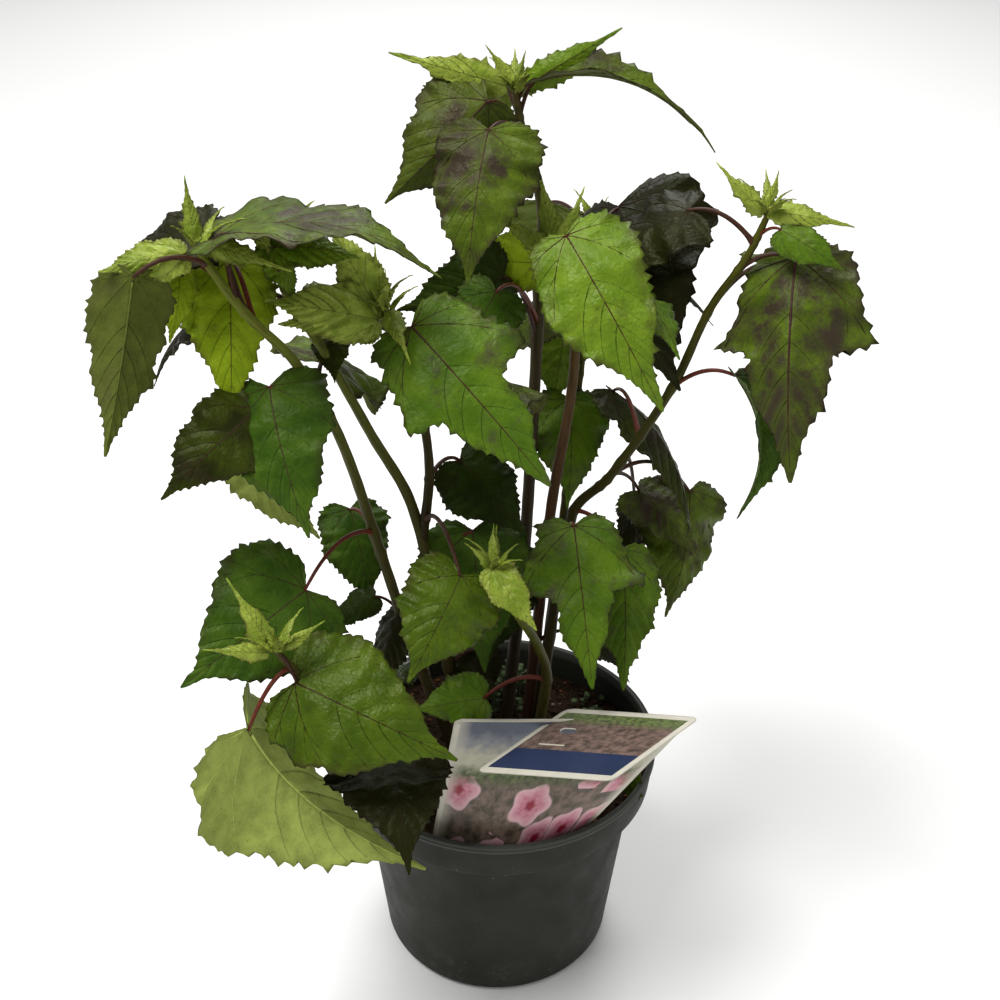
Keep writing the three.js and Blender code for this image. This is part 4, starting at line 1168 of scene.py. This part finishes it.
# Clumps of weeds: middle, half width, how many leaves and how tall, in millimetres.
WEED_CLUMPS = [(-2, 54, 17, 80, 20), (16, 66, 9, 24, 8), (58, 46, 10, 14, 5), (-48, -40, 8, 10, 4)]


def weed_shapes():
    """Small weeds and moss on the soil: round leaves on short stalks in a few clumps."""
    following = shares(4242)
    angles = np.linspace(0, 2 * math.pi, 9)[:-1]
    faces = [[8, k, (k + 1) % 8] for k in range(8)] + [[9, (k + 1) % 8, k] for k in range(8)]
    shapes = []
    for cx, cy, spread, count, tall in WEED_CLUMPS:
        for _ in range(count):
            x, y = cx + spread * (2 * following() - 1), cy + spread * (2 * following() - 1)
            ground = soil_height(x, y)
            size, rise = 1.4 + 2.2 * following(), 2 + tall * following()
            turn, tilt = 2 * math.pi * following(), 0.5 * following()
            centre = np.array([x, y, ground + rise])
            axis = np.array([math.cos(turn), math.sin(turn), 0.0])
            other = np.array([-math.sin(turn), math.cos(turn), 0.0]) * math.cos(tilt)
            other[2] = math.sin(tilt)
            rim = centre + size * (np.cos(angles)[:, None] * axis + 0.8 * np.sin(angles)[:, None] * other)
            corners = np.concatenate([rim, [centre - [0, 0, 0.5], centre - [0, 0, 0.8]]])
            shapes.append({"corners": corners, "faces": faces, "materials": np.zeros(len(faces))})
            run = np.linspace([x, y, ground - 0.5], centre - [0, 0, 0.7], 4)
            stalk = tube_shape(run, [0.3] * 4, 5, 0)
            shapes.append({key: stalk[key] for key in ("corners", "faces", "materials")})
    return shapes


def build_soil():
    bed = earth("soil_dark", (0.011, 0.006, 0.003), (0.030, 0.017, 0.009))
    add_piece("soil_bed", [soil_shape()], [bed], ["soil"])
    crumbs = [shape for kind, (_, rule) in enumerate(CRUMBS) for shape in crumb_shapes(kind, *rule)]
    stuffs = [earth(*stuff) for stuff, _ in CRUMBS]
    add_piece("soil_crumbs", crumbs, stuffs, (), flat_shaded=True)
    green = earth("weed_green", (0.035, 0.055, 0.02), (0.085, 0.115, 0.055), 0.7)
    add_piece("weeds", weed_shapes(), [green], ())


# The label.
def panel_point(panel, u, v):
    """A place on a panel: u from its left to its right edge and v from its foot to its top."""
    edges = []
    for key in ("foot", "top"):
        a, b, c = np.array(panel[key], float)
        edges.append(bow(a, 2 * b - 0.5 * (a + c), c, u))
    return edges[0] + (edges[1] - edges[0]) * v


def panel_facing(panel):
    """The way that a panel's front faces at its middle."""
    middle = panel_point(panel, 0.5, 0.5)
    return unit(np.cross(panel_point(panel, 0.6, 0.5) - middle, panel_point(panel, 0.5, 0.6) - middle))


def panel_shape(panel, looks, corner_u, corner_v):
    """A thin closed panel with round corners. looks(u, v) gives the material at a place of its front."""
    grid = np.zeros((PANEL_ROWS + 1, PANEL_COLUMNS + 1, 3))
    spots = np.zeros((PANEL_ROWS + 1, PANEL_COLUMNS + 1, 2))
    for r, v in enumerate(np.linspace(0, 1, PANEL_ROWS + 1)):
        near = min(1, min(v, 1 - v) / corner_v)
        inset = corner_u * (1 - math.sqrt(1 - (1 - near) ** 2))
        for c, s in enumerate(np.linspace(0, 1, PANEL_COLUMNS + 1)):
            u = inset + (1 - 2 * inset) * s
            spots[r, c] = u, v
            grid[r, c] = panel_point(panel, u, v)
    corners, front, back, strip = slab(grid, panel_facing(panel), CARD_THICKNESS)
    flat = spots.reshape(-1, 2)
    shown = [looks(*flat[quad].mean(0)) for quad in front]
    pattern = np.column_stack([flat * PRINT_SIZE, np.zeros(len(flat))])
    return {"corners": corners, "faces": np.concatenate([front, back, strip]).tolist(),
            "materials": np.concatenate([shown, np.zeros(len(back) + len(strip))]),
            "pattern": np.tile(pattern, (2, 1))}


def blossoms(look, pattern, colour, scale, radius):
    """Strews five-petalled flowers of pale and deep pink over a printed ground."""
    middle = look.node("TexVoronoi", "Position", {"Vector": pattern, "Scale": scale, "Randomness": 0.75})
    x, y, _ = look.apart(look.node("VectorMath", "Vector", {0: pattern, 1: middle}, operation="SUBTRACT"))
    petals = look.math("COSINE", look.times(look.math("ARCTAN2", y, x), 5.0))
    reach = look.ramp(petals, -1.0, 1.0, 0.8 * radius, radius)
    squares = look.math("ADD", look.math("POWER", x, 2.0), look.math("POWER", y, 2.0))
    share = look.math("DIVIDE", look.math("SQRT", squares), reach)
    petal = look.mix(look.spots(pattern, 0.35, 4.0, 0.35, 0.65), (0.58, 0.26, 0.30), (0.46, 0.12, 0.19))
    petal = look.mix(look.ramp(share, 0.5, 1.0), petal, (0.70, 0.46, 0.48))
    petal = look.mix(look.ramp(share, 0.32, 0.16), petal, (0.26, 0.01, 0.03))
    return look.mix(look.ramp(share, 1.0, 0.9), colour, petal)


def plain_ink(name, ink):
    look = Look(name, 0.36, 0.4)
    mottle = look.spots(look.attribute("pattern", "Vector"), 0.05, 3.0, 0.35, 0.65)
    return look.done(look.mix(mottle, ink, scaled(ink, 0.88)))


def printed(name, bands, flowers=None, edge=0.0):
    """Soft bands of inks up the card, each mottled, with flowers on the lowest if asked."""
    look = Look(name, 0.36, 0.4)
    pattern = look.attribute("pattern", "Vector")
    x, y, _ = look.apart(pattern)
    height = look.math("ADD", y, look.times(look.noise(pattern, 0.18, 5.0), 12.0))
    colour = None
    for start, light, dark, grain in bands:
        ink = look.mix(look.spots(pattern, grain, 6.0, 0.38, 0.62, roughness=0.65), light, dark)
        if colour is None:
            colour = blossoms(look, pattern, ink, *flowers) if flowers else ink
        else:
            colour = look.mix(look.ramp(height, start, start + 7), colour, ink)
    side = look.math("ABSOLUTE", look.math("SUBTRACT", x, 0.5 * PRINT_SIZE[0]))
    return look.done(look.mix(look.ramp(side, 50.0, 59.0, 0.0, edge), colour, (0.50, 0.47, 0.39)))


PANEL_ROWS = 60
PANEL_COLUMNS = 72
PRINT_SIZE = (120, 90)
# The print of each panel from its foot up: where a band starts in millimetres, its two inks and
# how fine it is mottled.
CARD_BANDS = [
    (0, (0.20, 0.14, 0.11), (0.06, 0.05, 0.03), 0.16),
    (54, (0.12, 0.15, 0.05), (0.03, 0.045, 0.015), 0.3),
    (62, (0.46, 0.44, 0.33), (0.38, 0.36, 0.27), 0.05),
    # The top bands are the print's blue-grey, made darker still as painted shade on the card's shaded top.
    (74, (0.22, 0.225, 0.235), (0.16, 0.17, 0.19), 0.05),
    (82, (0.085, 0.095, 0.125), (0.07, 0.08, 0.11), 0.05),
]
FLAP_BANDS = [
    (0, (0.19, 0.125, 0.10), (0.05, 0.034, 0.026), 0.16),
    (74, (0.15, 0.19, 0.06), (0.03, 0.045, 0.014), 0.3),
]


def card_look(u, v):
    """The standing card: a cream edge, wider at its sides, round its print."""
    return 0 if u < 0.022 or u > 0.978 or v > 0.975 else 1


def flap_look(u, v):
    """The folded flap: a cream edge, a bare blue band with a short pale slit over it, and its print."""
    if u < 0.035 or u > 0.965 or v < 0.07 or v > 0.94:
        return 0
    if v < 0.37:
        return 2
    slit = 0.16 < u < 0.36 and 0.43 < v < 0.455
    return 0 if slit else 3


def cut_slot(piece):
    """The long hole that the flap hangs by on its rack. The print stays where it was."""
    half_length, radius, reach = 2.0, 2.6, 6.0
    centre = panel_point(FLAP, 0.24, 0.66)
    across = unit(panel_point(FLAP, 0.34, 0.66) - centre)
    face = panel_facing(FLAP)
    along = np.cross(face, across)
    angles = np.radians(np.arange(0, 360, 15))
    ring = np.array([centre + across * (radius * math.cos(a) + half_length * np.sign(math.cos(a)))
                     + along * radius * math.sin(a) for a in angles])
    n = len(angles)
    faces = [list(range(n)), list(range(2 * n - 1, n - 1, -1))]
    faces += [[k, k + n, (k + 1) % n + n, (k + 1) % n] for k in range(n)]
    before = cut(piece, "slot_cutter", np.concatenate([ring + reach * face, ring - reach * face]), faces)
    printing = before.attributes["pattern"].data
    nearest = KDTree(len(before.vertices))
    for vertex in before.vertices:
        nearest.insert(vertex.co, vertex.index)
    nearest.balance()
    made = piece.data
    if "pattern" in made.attributes:
        made.attributes.remove(made.attributes["pattern"])
    values = made.attributes.new("pattern", "FLOAT_VECTOR", "POINT").data
    for vertex in made.vertices:
        values[vertex.index].vector = printing[nearest.find(vertex.co)[1]].vector


def build_label():
    inks = [plain_ink("card_cream", (0.56, 0.53, 0.44)),
            printed("card_print", CARD_BANDS, (0.029, 14.5), 0.95),
            plain_ink("card_blue", (0.012, 0.023, 0.068)),
            printed("flap_print", FLAP_BANDS)]
    add_piece("label_card", [panel_shape(CARD, card_look, 0.03, 0.03)], inks, ["label"])
    flap = add_piece("label_flap", [panel_shape(FLAP, flap_look, 0.05, 0.07)], inks, ())
    cut_slot(flap)


# The room. Each lamp's place and width are in metres, and its power in watts.
FLOOR_HALF = 4000
LAMPS = {"key": ((-0.8, -0.45, 2.3), 1.1, 52), "fill": ((1.7, -1.0, 1.2), 1.4, 6),
         "back": ((0.4, 1.2, 2.1), 1.1, 16), "backdrop": ((0, 3.0, 2.6), 2.6, 60)}


def build_stage():
    corners = [(-FLOOR_HALF, -FLOOR_HALF, 0), (FLOOR_HALF, -FLOOR_HALF, 0),
               (FLOOR_HALF, FLOOR_HALF, 0), (-FLOOR_HALF, FLOOR_HALF, 0)]
    floor = add_object("floor", mesh_of("floor", corners, [(0, 1, 2, 3)]))
    floor.data.materials.append(Look("floor_paint", 0.8, 0.2).done((0.86, 0.86, 0.85)))
    world = bpy.data.worlds.new("room")
    bpy.context.scene.world = world
    world.use_nodes = True
    background = world.node_tree.nodes["Background"]
    background.inputs["Color"].default_value = (1.0, 1.0, 1.0, 1)
    background.inputs["Strength"].default_value = 0.34
    for name, (place, size, power) in LAMPS.items():
        light = bpy.data.lights.new(name, "AREA")
        light.shape = "DISK"
        light.size = size
        light.energy = power
        lamp = add_object(name, light)
        lamp.location = place
        aim = Vector((0, 0, -1)) if name == "backdrop" else Vector((0, 0, 0.3)) - lamp.location
        lamp.rotation_euler = aim.to_track_quat("-Z", "Y").to_euler()


def build_camera():
    """The photograph's view: how far off, how high, its pitch and its small roll."""
    place = Vector((0, -0.606, 0.665))
    pitch, roll = math.radians(30.5), math.radians(0.5)
    frame_width, focal_pixels, picture_pixels = 36.0, 1300.0, 1000.0
    forward = Vector((0, math.cos(pitch), -math.sin(pitch)))
    raised = Vector((0, math.sin(pitch), math.cos(pitch)))
    level = Vector((1, 0, 0))
    right = level * math.cos(roll) + raised * math.sin(roll)
    up = raised * math.cos(roll) - level * math.sin(roll)
    data = bpy.data.cameras.new("camera")
    data.sensor_fit = "HORIZONTAL"
    data.sensor_width = frame_width
    data.lens = frame_width * focal_pixels / picture_pixels
    camera = add_object("camera", data)
    turned = Matrix((right, up, -forward)).transposed().to_4x4()
    turned.translation = place
    camera.matrix_world = turned
    bpy.context.scene.camera = camera
    bpy.context.scene.view_settings.view_transform = "Standard"


build_camera()
build_stage()
build_pot()
build_soil()
build_label()
build_plant()

bpy.context.view_layer.update()
